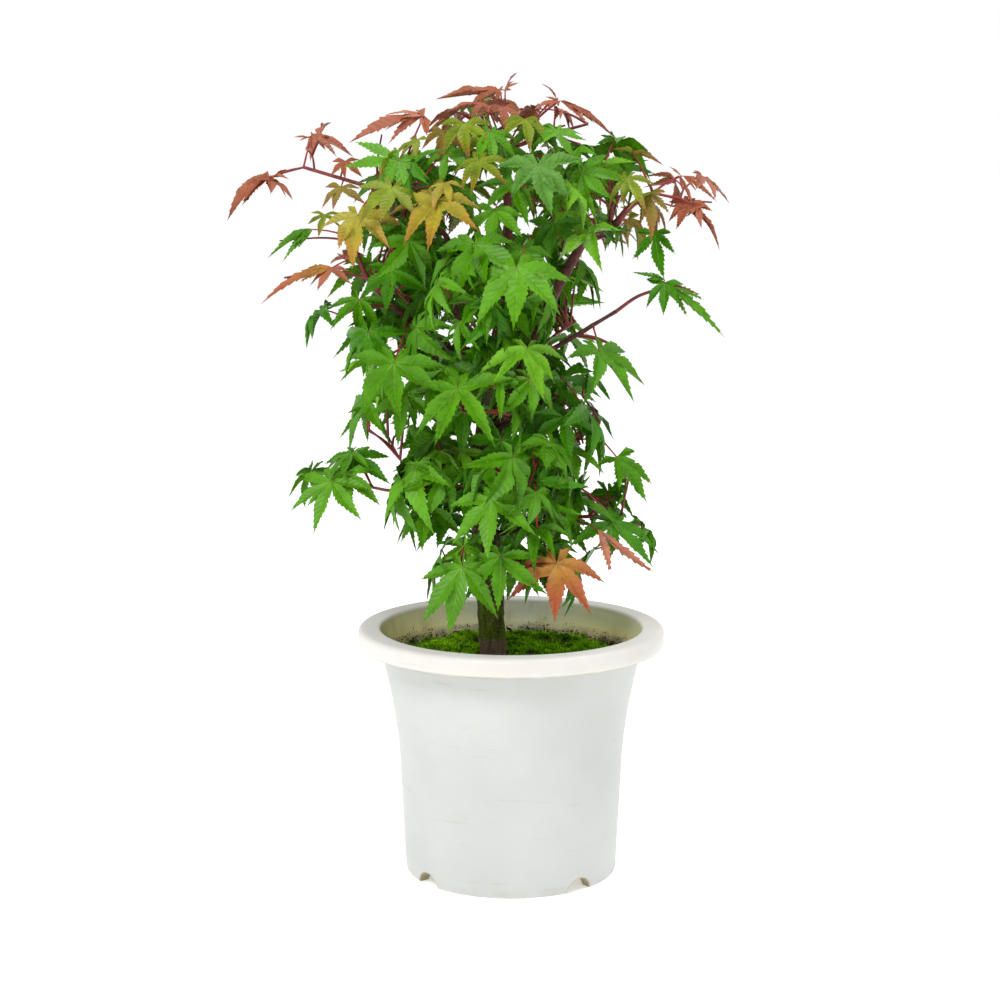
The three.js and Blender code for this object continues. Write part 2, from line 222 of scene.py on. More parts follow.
# ---- Pot -----------------------------------------------------------------------------------------
# A round nursery pot, moulded in one piece from white polypropylene: a near-straight wall that bells out
# under a thick rolled rim, a raised floor with drain holes, and a foot ring with four arched notches.

POT_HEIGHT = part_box("pot")[1].z
RIM_RADIUS = 75 * MM
RIM_DEPTH = 9.6 * MM
RIM_ROUND = 2.7 * MM
RIM_FILLET = 1.3 * MM
MOUTH_RADIUS = 64 * MM
MOUTH_ROUND = 1.6 * MM
WALL = 1.9 * MM
FOOT_RADIUS = 52 * MM
FOOT_WIDTH = 6 * MM
FOOT_INNER_ROUND = 0.8 * MM
FOOT_OUTER_ROUND = 1.2 * MM
FLOOR_UNDERSIDE = 7 * MM
FLOOR_TOP = 9 * MM
BOSS_RADIUS = 9 * MM
BELL_START = 58 * MM
BELL_END = POT_HEIGHT - 8.5 * MM
RIM_UNDERSIDE = POT_HEIGHT - RIM_DEPTH
POT_SIDES = 128
NOTCH_WIDTH = 15 * MM
NOTCH_HEIGHT = 6.5 * MM
NOTCH_TURN = math.radians(-51)
DRAIN_RING = 29 * MM
DRAIN_RADIUS = 4.5 * MM


def wall_radius(height):
    """Outer radius of the wall: a slight taper, and a bell that opens towards the rim."""
    bell = max(0, (height - BELL_START) / (BELL_END - BELL_START))
    return FOOT_RADIUS + 0.05 * height + 7 * MM * bell**1.7


def rounded(centre, radius, start, end, steps=5):
    """Points of an arc in the pot's profile, between two angles in degrees."""
    angles = [math.radians(start + (end - start) * step / steps) for step in range(steps + 1)]
    return [(centre[0] + radius * math.cos(a), centre[1] + radius * math.sin(a)) for a in angles]


def levels(low, high, steps):
    return [low + (high - low) * step / steps for step in range(steps + 1)]


FOOT_INSIDE = FOOT_RADIUS - FOOT_WIDTH
FILLET_MIDDLE = (wall_radius(RIM_UNDERSIDE) + RIM_FILLET, RIM_UNDERSIDE - RIM_FILLET)
pot_profile = [
    (BOSS_RADIUS, FLOOR_UNDERSIDE),
    (FOOT_INSIDE - 1 * MM, FLOOR_UNDERSIDE),
    *rounded((FOOT_INSIDE + FOOT_INNER_ROUND, FOOT_INNER_ROUND), FOOT_INNER_ROUND, 180, 270, 3),
    *rounded((FOOT_RADIUS - FOOT_OUTER_ROUND, FOOT_OUTER_ROUND), FOOT_OUTER_ROUND, 270, 360, 4),
    *[(wall_radius(z), z) for z in levels(2 * MM, RIM_UNDERSIDE - 1.5 * MM, 26)],
    *rounded(FILLET_MIDDLE, RIM_FILLET, 180, 90, 3),
    *rounded((RIM_RADIUS - RIM_ROUND, RIM_UNDERSIDE + RIM_ROUND), RIM_ROUND, 270, 360),
    *rounded((RIM_RADIUS - RIM_ROUND, POT_HEIGHT - RIM_ROUND), RIM_ROUND, 0, 90),
    *rounded((MOUTH_RADIUS + MOUTH_ROUND, POT_HEIGHT - MOUTH_ROUND), MOUTH_ROUND, 90, 180),
    *[(wall_radius(z) - WALL, z) for z in levels(RIM_UNDERSIDE, FLOOR_TOP + 2 * MM, 24)],
    (wall_radius(FLOOR_TOP) - WALL - 2 * MM, FLOOR_TOP),
    (BOSS_RADIUS, FLOOR_TOP),
]


def turned_shape(name, sides, start, rings):
    """A round solid drawn up from a disc, ring by ring. Each ring is a radius and a height."""
    last_radius, last_height = start
    place = (0, 0, last_height)
    bpy.ops.object.select_all(action="DESELECT")
    bpy.ops.mesh.primitive_circle_add(vertices=sides, radius=last_radius, fill_type="NGON", location=place)
    piece = bpy.context.object
    piece.name = name
    bpy.ops.object.mode_set(mode="EDIT")
    for radius, height in rings:
        rise = {"value": (0, 0, height - last_height)}
        growth = radius / last_radius
        bpy.ops.mesh.extrude_region_move(TRANSFORM_OT_translate=rise)
        bpy.ops.transform.resize(value=(growth, growth, 1), center_override=(0, 0, height))
        last_radius, last_height = radius, height
    bpy.ops.mesh.select_all(action="SELECT")
    bpy.ops.mesh.remove_doubles(threshold=0.01 * MM)
    bpy.ops.mesh.normals_make_consistent(inside=False)
    bpy.ops.object.mode_set(mode="OBJECT")
    return piece


def cut_away(piece, cutter):
    """Takes the cutter's shape out of the piece, and removes the cutter."""
    only(piece)
    hole = piece.modifiers.new("cut", "BOOLEAN")
    hole.operation = "DIFFERENCE"
    hole.object = cutter
    bpy.ops.object.modifier_apply(modifier=hole.name)
    bpy.data.objects.remove(cutter)


def finish_shape(piece, angle=40):
    """Bakes the piece's place into its mesh, and smooths the edges that are not sharp."""
    only(piece)
    bpy.ops.object.transform_apply(location=True, rotation=True, scale=True)
    bpy.ops.object.shade_smooth_by_angle(angle=math.radians(angle))


def on_ring(radius, angle, height):
    """A place on a level circle round the pot's axis."""
    return radius * math.cos(angle), radius * math.sin(angle), height


pot = turned_shape("nursery_pot", POT_SIDES, (BOSS_RADIUS, 0.0), pot_profile)
arch_radius = ((NOTCH_WIDTH / 2) ** 2 + NOTCH_HEIGHT**2) / (2 * NOTCH_HEIGHT)
for quarter in range(4):
    turn = NOTCH_TURN + quarter * math.pi / 2
    middle = Vector((math.cos(turn), math.sin(turn), 0)) * (FOOT_RADIUS - FOOT_WIDTH / 2)
    middle.z = NOTCH_HEIGHT - arch_radius
    lying = (0, math.pi / 2, turn)
    bpy.ops.mesh.primitive_cylinder_add(
        vertices=40, radius=arch_radius, depth=FOOT_WIDTH * 3, location=middle, rotation=lying
    )
    cut_away(pot, bpy.context.object)

for sixth in range(6):
    turn = sixth * math.pi / 3
    place = on_ring(DRAIN_RING, turn, (FLOOR_UNDERSIDE + FLOOR_TOP) / 2)
    bpy.ops.mesh.primitive_cylinder_add(vertices=24, radius=DRAIN_RADIUS, depth=6 * MM, location=place)
    cut_away(pot, bpy.context.object)
finish_shape(pot, 35)

plastic = Finish(
    "white_plastic", 0.4, specular_ior_level=0.45,
    subsurface_weight=0.6, subsurface_scale=2.5 * MM, subsurface_radius=(1.0, 0.92, 0.75),
)
x, y, z = plastic.axes(plastic.place())
radius = (x * x + y * y) ** 0.5
cloudy = plastic.noise(plastic.place(), 22.0, 4.0)
streaks = plastic.noise(plastic.stretched((60.0, 60.0, 9.0)), 1.0, 4.0)
rim_warmth = z.ramp(RIM_UNDERSIDE - 1 * MM, RIM_UNDERSIDE + 2 * MM)
body_colour = plastic.blend(cloudy.ramp(0.35, 0.7), rgb(0.575, 0.590, 0.570), rgb(0.620, 0.636, 0.616))
rim_colour = plastic.blend(cloudy.ramp(0.3, 0.7), rgb(0.71, 0.695, 0.65), rgb(0.785, 0.77, 0.725))
clean = plastic.blend(rim_warmth, body_colour, rim_colour)
above_edge = z - RIM_UNDERSIDE
rim_edge = above_edge.ramp(-1.0 * MM, -0.5 * MM) * (1 - above_edge.ramp(0.5 * MM, 1.5 * MM))
under_rim = rim_edge * streaks.ramp(0.2, 0.55) * 0.7
notch_line = abs(x * math.cos(NOTCH_TURN) + y * math.sin(NOTCH_TURN))
other_notch_line = abs(y * math.cos(NOTCH_TURN) - x * math.sin(NOTCH_TURN))
beside = plastic.add("ShaderNodeMath", {"operation": "MINIMUM"}, {0: notch_line, 1: other_notch_line})
notch_edge = (beside * beside + (z - NOTCH_HEIGHT + arch_radius) ** 2) ** 0.5 - arch_radius
notch_grime = (1 - notch_edge.ramp(0.1 * MM, 0.7 * MM)) * streaks.ramp(0.2, 0.6) * 0.75
foot_grime = (1 - z.ramp(0.0, 5 * MM)) * streaks.ramp(0.4, 0.7) * 0.3
scuffs = plastic.noise(plastic.stretched((25.0, 25.0, 260.0)), 1.0, 6.0, 0.7).ramp(0.60, 0.72) * 0.22
under_floor = 1 - z.ramp(FLOOR_UNDERSIDE + 0.5 * MM, FLOOR_TOP - 0.5 * MM)
# Inside the foot ring and under the floor the plastic is made darker and yellow-brown.
inside_foot = (FOOT_RADIUS - 0.7 * MM - radius).ramp(0.0, 0.6 * MM) * under_floor * 0.7
worn_and_dark_below = plastic.blend(under_rim + foot_grime + scuffs + notch_grime, clean, rgb(0.33, 0.27, 0.15))
worn_and_dark_below = plastic.blend(inside_foot, worn_and_dark_below, rgb(0.30, 0.26, 0.14))
inner_edge = 60.9 * MM + (z - 104 * MM) * 0.218
inside = (inner_edge - radius).ramp(-0.3 * MM, 0.3 * MM) * (1 - z.ramp(POT_HEIGHT - 3 * MM, POT_HEIGHT))
# Inside the pot the wall is painted much paler than the outer wall, as painted light where the inside lies in
# shade. Its left part is painted darker, and gets most of the damp darkening, as painted shade. The
# yellow-brown tints, the damp darkening towards the soil, the tide line and the smears are real soil stains.
shaded_left = 1 - x.ramp(-62 * MM, -12 * MM)
right_side = x.ramp(12 * MM, 58 * MM)
stains_light_and_shade = plastic.blend(shaded_left, rgb(1.0, 0.97, 0.84), rgb(0.82, 0.75, 0.35))
stains_light_and_shade = plastic.blend(right_side * 0.8, stains_light_and_shade, rgb(1.0, 0.88, 0.52))
damp = (1 - z.ramp(104 * MM, 116 * MM)) * 0.5 + streaks.ramp(0.45, 0.75) * 0.5
stains_light_and_shade = plastic.blend(damp.ramp(0.1, 0.9) * (0.15 + 0.85 * shaded_left), stains_light_and_shade, rgb(0.50, 0.45, 0.17))
blotches = plastic.noise(plastic.place(), 170.0, 5.0, 0.7)
tide_line = (1 - z.ramp(105 * MM, 111 * MM)) * blotches.ramp(0.40, 0.60) * 0.85
smears = plastic.noise(plastic.stretched((70.0, 70.0, 30.0)), 1.0, 4.0).ramp(0.56, 0.72) * 0.3
stains_light_and_shade = plastic.blend(tide_line + smears, stains_light_and_shade, rgb(0.16, 0.13, 0.04))
plastic.colour(plastic.blend(inside, worn_and_dark_below, stains_light_and_shade))
plastic.rough(0.36 + cloudy * 0.14 + inside * 0.25)
plastic.bump(plastic.noise(plastic.place(), 320.0, 2.0), 0.06 * MM, 0.5)
pot.data.materials.append(plastic.material)
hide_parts("pot")
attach(pot, "root")

# ---- Potting soil --------------------------------------------------------------------------------
# Damp dark potting soil fills the pot to a finger's width below the rim, its top level. It shows only in a
# narrow ring between the moss and the wall, where loose chips of bark and grit lie on it.

SOIL_LOW, SOIL_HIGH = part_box("soil")
SOIL_GAP = 0.5 * MM
SOIL_RADIUS = wall_radius(SOIL_HIGH.z) - WALL - 0.4 * MM
SOIL_SIDES = 72
TOP_RINGS = 14
CHIP_COUNT = 420


def soil_ring(height):
    """A ring of the soil's side, just clear of the wall of the pot."""
    return wall_radius(height) - WALL - SOIL_GAP, height


side_rings = [soil_ring(height) for height in levels(SOIL_LOW.z + 12 * MM, SOIL_HIGH.z, 7)]
top_rings = [(SOIL_RADIUS * (1 - step / TOP_RINGS), SOIL_HIGH.z) for step in range(1, TOP_RINGS)]
soil = turned_shape("potting_soil", SOIL_SIDES, soil_ring(SOIL_LOW.z), side_rings + top_rings)
finish_shape(soil, 60)

deal = random.Random(11)
bpy.ops.mesh.primitive_ico_sphere_add(subdivisions=1, radius=1, location=(0, 0, 0))
chip = bpy.context.object
chip_points = np.array([vertex.co for vertex in chip.data.vertices])
chip_faces = [tuple(face.vertices) for face in chip.data.polygons]
bpy.data.objects.remove(chip)


def joined(name, parts):
    """One mesh object from (points, faces) pairs."""
    points, faces, start = [], [], 0
    for part_points, part_faces in parts:
        points.extend(tuple(map(float, point)) for point in part_points)
        faces.extend(tuple(start + corner for corner in face) for face in part_faces)
        start += len(part_points)
    mesh = bpy.data.meshes.new(name)
    mesh.from_pydata(points, [], faces)
    piece = bpy.data.objects.new(name, mesh)
    bpy.context.scene.collection.objects.link(piece)
    return piece


def turned_at_random(points, deal):
    """The points turned about the middle into any direction."""
    axis = Vector([deal.uniform(-1, 1) for _ in range(3)]).normalized()
    return points @ np.array(Matrix.Rotation(deal.uniform(0, math.tau), 3, axis)).T


chips = []
for _ in range(CHIP_COUNT):
    angle = deal.uniform(0, math.tau)
    ring = SOIL_RADIUS - deal.random() ** 1.5 * 8 * MM - 1 * MM
    size = deal.uniform(0.4, 1.3) * MM
    lumps = chip_points * size * np.array([1, deal.uniform(0.4, 1), deal.uniform(0.3, 0.8)])
    spot = np.array(on_ring(ring, angle, SOIL_HIGH.z + 0.4 * size))
    chips.append((turned_at_random(lumps, deal) + spot, chip_faces))
chips = joined("soil_chips", chips)

soil_finish = Finish("damp_soil", 0.9, specular_ior_level=0.2)
crumbs = soil_finish.noise(soil_finish.place(), 700.0, 4.0, 0.7)
soil_colours = (rgb(0.012, 0.009, 0.005), rgb(0.09, 0.065, 0.035))
soil_finish.colour(soil_finish.blend(crumbs.ramp(0.35, 0.7), *soil_colours))
soil_finish.bump(crumbs, 0.8 * MM)
chip_finish = Finish("bark_and_grit", 0.85, specular_ior_level=0.2)
grains = chip_finish.noise(chip_finish.place(), 420.0, 1.0)
chip_colours = (rgb(0.03, 0.02, 0.01), rgb(0.2, 0.15, 0.08))
chip_finish.colour(chip_finish.blend(grains.ramp(0.4, 0.62), *chip_colours))
for piece, finish in ((soil, soil_finish), (chips, chip_finish)):
    piece.data.materials.append(finish.material)
    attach(piece, "root")
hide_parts("soil")

# ---- Moss ----------------------------------------------------------------------------------------
# Live moss covers the soil round the trunk: uneven tufts of tiny bright green leaves among older dark ones,
# over a thin level bed, with flecks of brown bark. A dark crust of it creeps up the wall of the pot.

MOSS_LOW, MOSS_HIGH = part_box("moss")
MOSS_RADIUS = (MOSS_HIGH.x - MOSS_LOW.x) / 2
MOSS_RINGS = 26
BED_DEPTH = 1 * MM
TUFT_COUNT = 4200
CRUST_COUNT = 8000
CRUST_CLIMB = 8 * MM
FLECK_COUNT = 260
TRUNK_FOOT = -9 * MM
CLEAR_OF_TRUNK = 7.5 * MM


def moss_height(x, y):
    """How high the tufts and flecks lie: uneven, and lower towards the edge of the moss."""
    out = math.hypot(x, y) / MOSS_RADIUS
    lumps = noise.noise(Vector((x, y, 0)) * 62) + 0.6 * noise.noise(Vector((x, y, 9)) * 150)
    thickness = (MOSS_HIGH.z - MOSS_LOW.z) * (1 - 0.55 * max(0, out) ** 5)
    return max(MOSS_LOW.z + 0.6 * MM, MOSS_LOW.z + thickness - 1.0 * MM + 2.9 * MM * lumps)


bed_top = MOSS_LOW.z + BED_DEPTH
bed_rings = [(MOSS_RADIUS * (1 - step / MOSS_RINGS), bed_top) for step in range(1, MOSS_RINGS)]
moss = turned_shape("moss_cushion", SOIL_SIDES, (MOSS_RADIUS, MOSS_LOW.z), bed_rings)
finish_shape(moss, 60)

sprig_points = []
sprig_faces = []
for turn in range(6):
    angle = turn * math.tau / 6 + (0.3 if turn % 2 else 0)
    lean = 0.85 if turn % 2 else 0.45
    along = np.array([math.cos(angle), math.sin(angle), 0])
    across = np.array([-math.sin(angle), math.cos(angle), 0])
    rise = np.array([0, 0, 1])
    start = len(sprig_points)
    sprig_points += [
        along * 0.05 - across * 0.09,
        along * 0.05 + across * 0.09,
        along * lean * 0.6 + across * 0.16 + rise * 0.5,
        along * lean + rise * (1.05 - lean * 0.3),
        along * lean * 0.6 - across * 0.16 + rise * 0.5,
    ]
    sprig_faces.append((start, start + 1, start + 2, start + 3, start + 4))
sprig_points = np.array(sprig_points)

deal = random.Random(23)
tufts = {"moss_bright": [], "moss_dark": []}
for _ in range(TUFT_COUNT):
    angle = deal.uniform(0, math.tau)
    ring = MOSS_RADIUS * math.sqrt(deal.random())
    x, y, _ = on_ring(ring, angle, 0)
    if math.hypot(x - TRUNK_FOOT, y) < CLEAR_OF_TRUNK:
        continue
    patch = noise.noise(Vector((x, y, 3)) * 48) + deal.uniform(-0.3, 0.3)
    if patch < -0.36:
        continue
    kind = "moss_bright" if patch > -0.06 and ring < MOSS_RADIUS * 0.97 else "moss_dark"
    size = deal.uniform(1.3, 2.6) * MM
    turn = np.array(Matrix.Rotation(deal.uniform(0, math.tau), 3, "Z"))
    lean = np.array(Matrix.Rotation(deal.gauss(0, 0.3), 3, "X"))
    spot = np.array([x, y, moss_height(x, y) - 0.35 * MM])
    tufts[kind].append((sprig_points * size @ (turn @ lean).T + spot, sprig_faces))

crust = {"moss_crust": [], "moss_crust_green": []}
for _ in range(CRUST_COUNT):
    angle = deal.uniform(0, math.tau)
    around = Vector((math.cos(angle), math.sin(angle), 0))
    patch = max(0.25, 0.75 + 0.8 * noise.noise(around * 2.2) + 0.7 * noise.noise(around * 9))
    climb = deal.random() ** 2.2
    height = MOSS_LOW.z + 0.5 * MM + CRUST_CLIMB * climb * patch
    if noise.noise(Vector((angle * 11, height * 600, 4))) < -0.22:
        continue
    ring = wall_radius(height) - WALL - 0.1 * MM
    if height < SOIL_HIGH.z + 1.5 * MM:
        ring -= deal.uniform(0, 3) * MM
    size = min(1.2, deal.lognormvariate(-1.2, 0.5)) * (1.25 - 0.6 * climb) * MM
    lumps = turned_at_random(chip_points * size * np.array([1, deal.uniform(0.3, 0.8), 0.45]), deal)
    kind = "moss_crust_green" if climb < 0.25 and deal.random() < 0.45 else "moss_crust"
    crust[kind].append((lumps + np.array(on_ring(ring, angle, height)), chip_faces))

flecks = []
for _ in range(FLECK_COUNT):
    angle = deal.uniform(0, math.tau)
    ring = MOSS_RADIUS * 0.95 * math.sqrt(deal.random())
    x, y, _ = on_ring(ring, angle, 0)
    size = deal.uniform(0.5, 1.5) * MM
    lumps = turned_at_random(chip_points * size * np.array([1, 0.4, 0.25]), deal)
    flecks.append((lumps + np.array([x, y, moss_height(x, y) + 0.5 * MM]), chip_faces))


def moss_finish(name, dark, light):
    """Soft moss colours in patches."""
    finish = Finish(name, 0.85, specular_ior_level=0.15)
    patches = finish.noise(finish.place(), 140.0, 3.0)
    finish.colour(finish.blend(patches.ramp(0.35, 0.65), dark, light))
    finish.bump(finish.noise(finish.place(), 1500.0, 2.0), 0.3 * MM)
    return finish


bed_finish = moss_finish("moss_bed", rgb(0.03, 0.07, 0.001), rgb(0.08, 0.12, 0.01))
bright_tuft_finish = moss_finish("moss_bright", rgb(0.13, 0.36, 0.0), rgb(0.34, 0.68, 0.0))
dark_tuft_finish = moss_finish("moss_dark", rgb(0.05, 0.17, 0.0), rgb(0.18, 0.38, 0.0))
crust_finish = moss_finish("moss_crust", rgb(0.010, 0.014, 0.003), rgb(0.07, 0.08, 0.02))
moss_kinds = (
    (moss, bed_finish, "moss"),
    (joined("moss_bright_tufts", tufts["moss_bright"]), bright_tuft_finish, "moss"),
    (joined("moss_dark_tufts", tufts["moss_dark"]), dark_tuft_finish, "moss"),
    (joined("moss_crust", crust["moss_crust"]), crust_finish, "moss"),
    (joined("moss_crust_green", crust["moss_crust_green"]), dark_tuft_finish, "moss"),
    (joined("bark_flecks", flecks), chip_finish, "soil"),
)
for piece, finish, slot in moss_kinds:
    piece.data.materials.append(finish.material)
    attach(piece, "root")
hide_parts("moss")

# ---- Trunk and boughs ----------------------------------------------------------------------------
# The living wood: one short trunk with a root flare, sawn off at its top years ago, and the boughs that grew
# from it. The bark is thin, ridged along the stem, mossy at the foot, smoother and redder on younger boughs.
# Places and radii are in millimetres.

TRUNK_ROUTE = [
    (-9, 0, 103.9), (-9, 0, 112), (-11.7, 0.5, 159), (-13.9, 0, 184), (-13.4, -0.5, 212), (-11.2, 0, 236),
]
TRUNK_FOOT_HEIGHT = 103.5
TRUNK_TOP_HEIGHT = 236
TRUNK_RADII = [(TRUNK_FOOT_HEIGHT, 6.1), (159, 6.8), (186, 5.8), (212, 4.2), (TRUNK_TOP_HEIGHT, 3.0)]
FLARE = 1.3
FLARE_FADE = 5
SCAR_HEIGHTS = (128, 147, 166, 190)
SCAR_HALF_HEIGHT = 1.6
SCAR_SWELL = 0.45
BOUGHS = {
    "leader": ([(-10, 1, 222), (-6, 5, 240), (-4, 3, 268), (-1, 1, 300), (-3, 0, 352)], 3.0, 1.7),
    "bough_left": ([(-12, 0, 219), (-21, -2, 234), (-33, -3, 252), (-44, -5, 268)], 2.6, 1.8),
    "bough_inner_left": ([(-11, -1, 226), (-21, -5, 250), (-27, -6, 280), (-31, -9, 312)], 2.2, 1.2),
    "bough_right": ([(-10, 1, 216), (4, 3, 244), (20, 3, 282), (36, 1, 312)], 3.1, 2.2),
    "bough_back_left": ([(-11, 2, 213), (-19, 12, 238), (-32, 26, 258)], 2.3, 1.5),
    "bough_back_right": ([(-9, 2, 210), (1, 14, 234), (15, 27, 256)], 2.4, 1.5),
    "bough_waist_right": ([(-10, -1, 216), (3, -4, 226), (21, -5, 236)], 1.7, 1.0),
    "bough_low_left": ([(-14, -1, 178), (-20, -2, 183), (-28, -5, 187)], 1.8, 1.2),
    "bough_low_right": ([(-12, 0, 166), (4, -1, 170), (27, -1, 176)], 1.7, 1.1),
    "bough_low_front": ([(-12, -2, 162), (-10, -13, 160), (-15, -26, 153)], 1.5, 1.0),
}
SHOOTS = {
    "shoot_upper_left": ([(-54, -14, 331), (-74, -10, 337), (-98, -7, 344)], 1.1, 0.8),
    "shoot_left": ([(-58, -8, 280), (-69, -6, 293), (-76, -5, 311)], 1.5, 0.9),
    "shoot_right": ([(50, -3, 318), (57, -3, 326), (67, -4, 332)], 1.8, 1.1),
    "shoot_low_left": ([(-45, -9, 194), (-57, -7, 190), (-67, -5, 191)], 0.9, 0.7),
    "shoot_mid_right": ([(50, -5, 276), (60, -5, 283), (71, -6, 287)], 0.9, 0.7),
}


def smooth_route(points, steps):
    """Points along a smooth curve through the given ones."""
    points = [Vector(point) for point in points]
    ends = [points[0] * 2 - points[1], *points, points[-1] * 2 - points[-2]]
    route = []
    for step in range(steps + 1):
        along = step / steps * (len(points) - 1)
        section = min(int(along), len(points) - 2)
        t = along - section
        p0, p1, p2, p3 = ends[section : section + 4]
        bend = 2 * p0 - 5 * p1 + 4 * p2 - p3
        swing = 3 * p1 - p0 - 3 * p2 + p3
        route.append((2 * p1 + (p2 - p0) * t + bend * t**2 + swing * t**3) / 2)
    return route


def rods(name, stems, smoothness):
    """One mesh of round stems, each a list of (point, radius), with 4 + 2 * smoothness sides."""
    curve = bpy.data.curves.new(name, "CURVE")
    curve.dimensions = "3D"
    curve.bevel_depth = 1
    curve.bevel_resolution = smoothness
    curve.use_fill_caps = True
    for stem in stems:
        spline = curve.splines.new("POLY")
        spline.points.add(len(stem) - 1)
        for point, (place, radius) in zip(spline.points, stem):
            point.co = (*place, 1)
            point.radius = radius
    piece = bpy.data.objects.new(name, curve)
    bpy.context.scene.collection.objects.link(piece)
    only(piece)
    bpy.ops.object.convert(target="MESH")
    bpy.ops.object.mode_set(mode="EDIT")
    bpy.ops.mesh.select_all(action="SELECT")
    bpy.ops.mesh.remove_doubles(threshold=0.002 * MM)
    bpy.ops.mesh.normals_make_consistent(inside=False)
    bpy.ops.object.mode_set(mode="OBJECT")
    return bpy.context.object


def trunk_radius(height):
    """The trunk's radius at a height, both in millimetres, without its flare."""
    for (low, radius), (high, next_radius) in zip(TRUNK_RADII, TRUNK_RADII[1:]):
        if height <= high:
            return radius + (next_radius - radius) * max(0, (height - low) / (high - low))
    return TRUNK_RADII[-1][1]


def out_of_trunk(place):
    """The level step from the middle of the trunk to a place on its bark."""
    axis = min(trunk_route, key=lambda point: abs(point.z - place.z / MM)) * MM
    return Vector((place.x - axis.x, place.y - axis.y, 0))


trunk_route = smooth_route(TRUNK_ROUTE, 120)
trunk = rods("ridged_trunk", [[(point * MM, trunk_radius(point.z) * MM) for point in trunk_route]], 20)
for vertex in trunk.data.vertices:
    height = vertex.co.z / MM
    out = out_of_trunk(vertex.co)
    if out.length < 0.5 * MM:
        continue
    angle = math.atan2(out.y, out.x)
    out.normalize()
    root_ridges = 1 + 0.35 * math.cos(3 * angle)
    flare = FLARE * math.exp(-(height - TRUNK_FOOT_HEIGHT) / FLARE_FADE) * root_ridges
    ring = Vector((math.cos(angle) * 2.4, math.sin(angle) * 2.4, height * 0.035))
    ridges = 0.5 * noise.noise(ring * 2.1) + 0.34 * noise.noise(ring * 5.5)
    lumps = 0.55 * noise.noise(Vector((math.cos(angle), math.sin(angle), height * 0.09)))
    fade = min(1, (TRUNK_TOP_HEIGHT - height) / 6)
    vertex.co += out * (flare + (ridges + lumps) * fade) * MM
for scar in SCAR_HEIGHTS:
    for vertex in trunk.data.vertices:
        swell = math.exp(-(((vertex.co.z / MM - scar) / SCAR_HALF_HEIGHT) ** 2))
        out = out_of_trunk(vertex.co)
        if out.length > 0.5 * MM:
            vertex.co += out.normalized() * SCAR_SWELL * MM * swell
finish_shape(trunk, 50)

limb_stems = {}
for name, (points, start, end) in {**BOUGHS, **SHOOTS}.items():
    steps = 14 * (len(points) - 1)
    limb_stems[name] = list(zip(smooth_route(points, steps), levels(start, end, steps)))

# Inside the leaves, four boughs run on to the shoots that stand out of them, and a fifth shoot forks off.
RUNS_ON_TO = {
    "bough_left": "shoot_left",
    "bough_inner_left": "shoot_upper_left",
    "bough_right": "shoot_right",
    "bough_low_left": "shoot_low_left",
}
for bough, shoot in RUNS_ON_TO.items():
    before = limb_stems[bough][-4][0]
    start, start_radius = limb_stems[bough][-1]
    end, end_radius = limb_stems[shoot][0]
    after = limb_stems[shoot][3][0]
    route = smooth_route([before, start, (start + end) / 2, end, after], 24)[3:-3]
    limb_stems["inner_" + shoot] = list(zip(route, levels(start_radius, end_radius, len(route) - 1)))
fork = limb_stems["bough_right"][16][0]
shoot_foot = limb_stems["shoot_mid_right"][0][0]
route = smooth_route([fork, (fork + shoot_foot) / 2, shoot_foot], 12)
limb_stems["inner_shoot_mid_right"] = [(place, 1.4 - 0.04 * step) for step, place in enumerate(route)]
inner_names = [name for name in limb_stems if name.startswith("inner_")]

bough_pieces = {}
for name in [*BOUGHS, *inner_names]:
    stem = [(place * MM, radius * MM) for place, radius in limb_stems[name]]
    bough = rods(name.replace("bough", "barked_bough"), [stem], 5)
    bough.data.update()
    moves = []
    for vertex in bough.data.vertices:
        knots = noise.noise(vertex.co * 190) * 0.3 + noise.noise(vertex.co * 480) * 0.16
        moves.append(vertex.co + vertex.normal * knots * MM)
    for vertex, place in zip(bough.data.vertices, moves):
        vertex.co = place
    finish_shape(bough, 60)
    bough_pieces[name] = bough

bark = Finish("ridged_bark", 0.8, specular_ior_level=0.25)
z = bark.axes(bark.place())[2]
grain = bark.noise(bark.stretched((520.0, 520.0, 70.0)), 1.0, 5.0, 0.65)
specks = bark.noise(bark.place(), 900.0, 2.0)
patches = bark.noise(bark.place(), 90.0, 3.0)
brown = bark.blend(grain.ramp(0.35, 0.68), rgb(0.03, 0.017, 0.008), rgb(0.15, 0.095, 0.05))
brown = bark.blend(specks.ramp(0.60, 0.70) * 0.8, brown, rgb(0.26, 0.2, 0.13))
mossy = (1 - z.ramp(122 * MM, 165 * MM)) * 0.85 + 0.12
green = bark.blend(grain.ramp(0.3, 0.7), rgb(0.022, 0.036, 0.0), rgb(0.13, 0.19, 0.002))
collar = 1 - (z + patches * 5 * MM).ramp(117 * MM, 119 * MM)
bare_collar = bark.blend(grain.ramp(0.3, 0.7), rgb(0.07, 0.045, 0.03), rgb(0.24, 0.16, 0.11))
foot = bark.blend(collar, green, bare_collar)
cover = (patches * 1.1 + grain * 0.3 - (1 - mossy) * 0.7 + collar * 0.4).ramp(0.42, 0.62)
foot = bark.blend(specks.ramp(0.60, 0.68) * 0.7, foot, rgb(0.30, 0.27, 0.16))
bark.colour(bark.blend(cover, brown, foot))
bark.rough(0.7 + grain * 0.2)
bark.bump(grain + specks * 0.5, 0.9 * MM)
trunk.data.materials.append(bark.material)

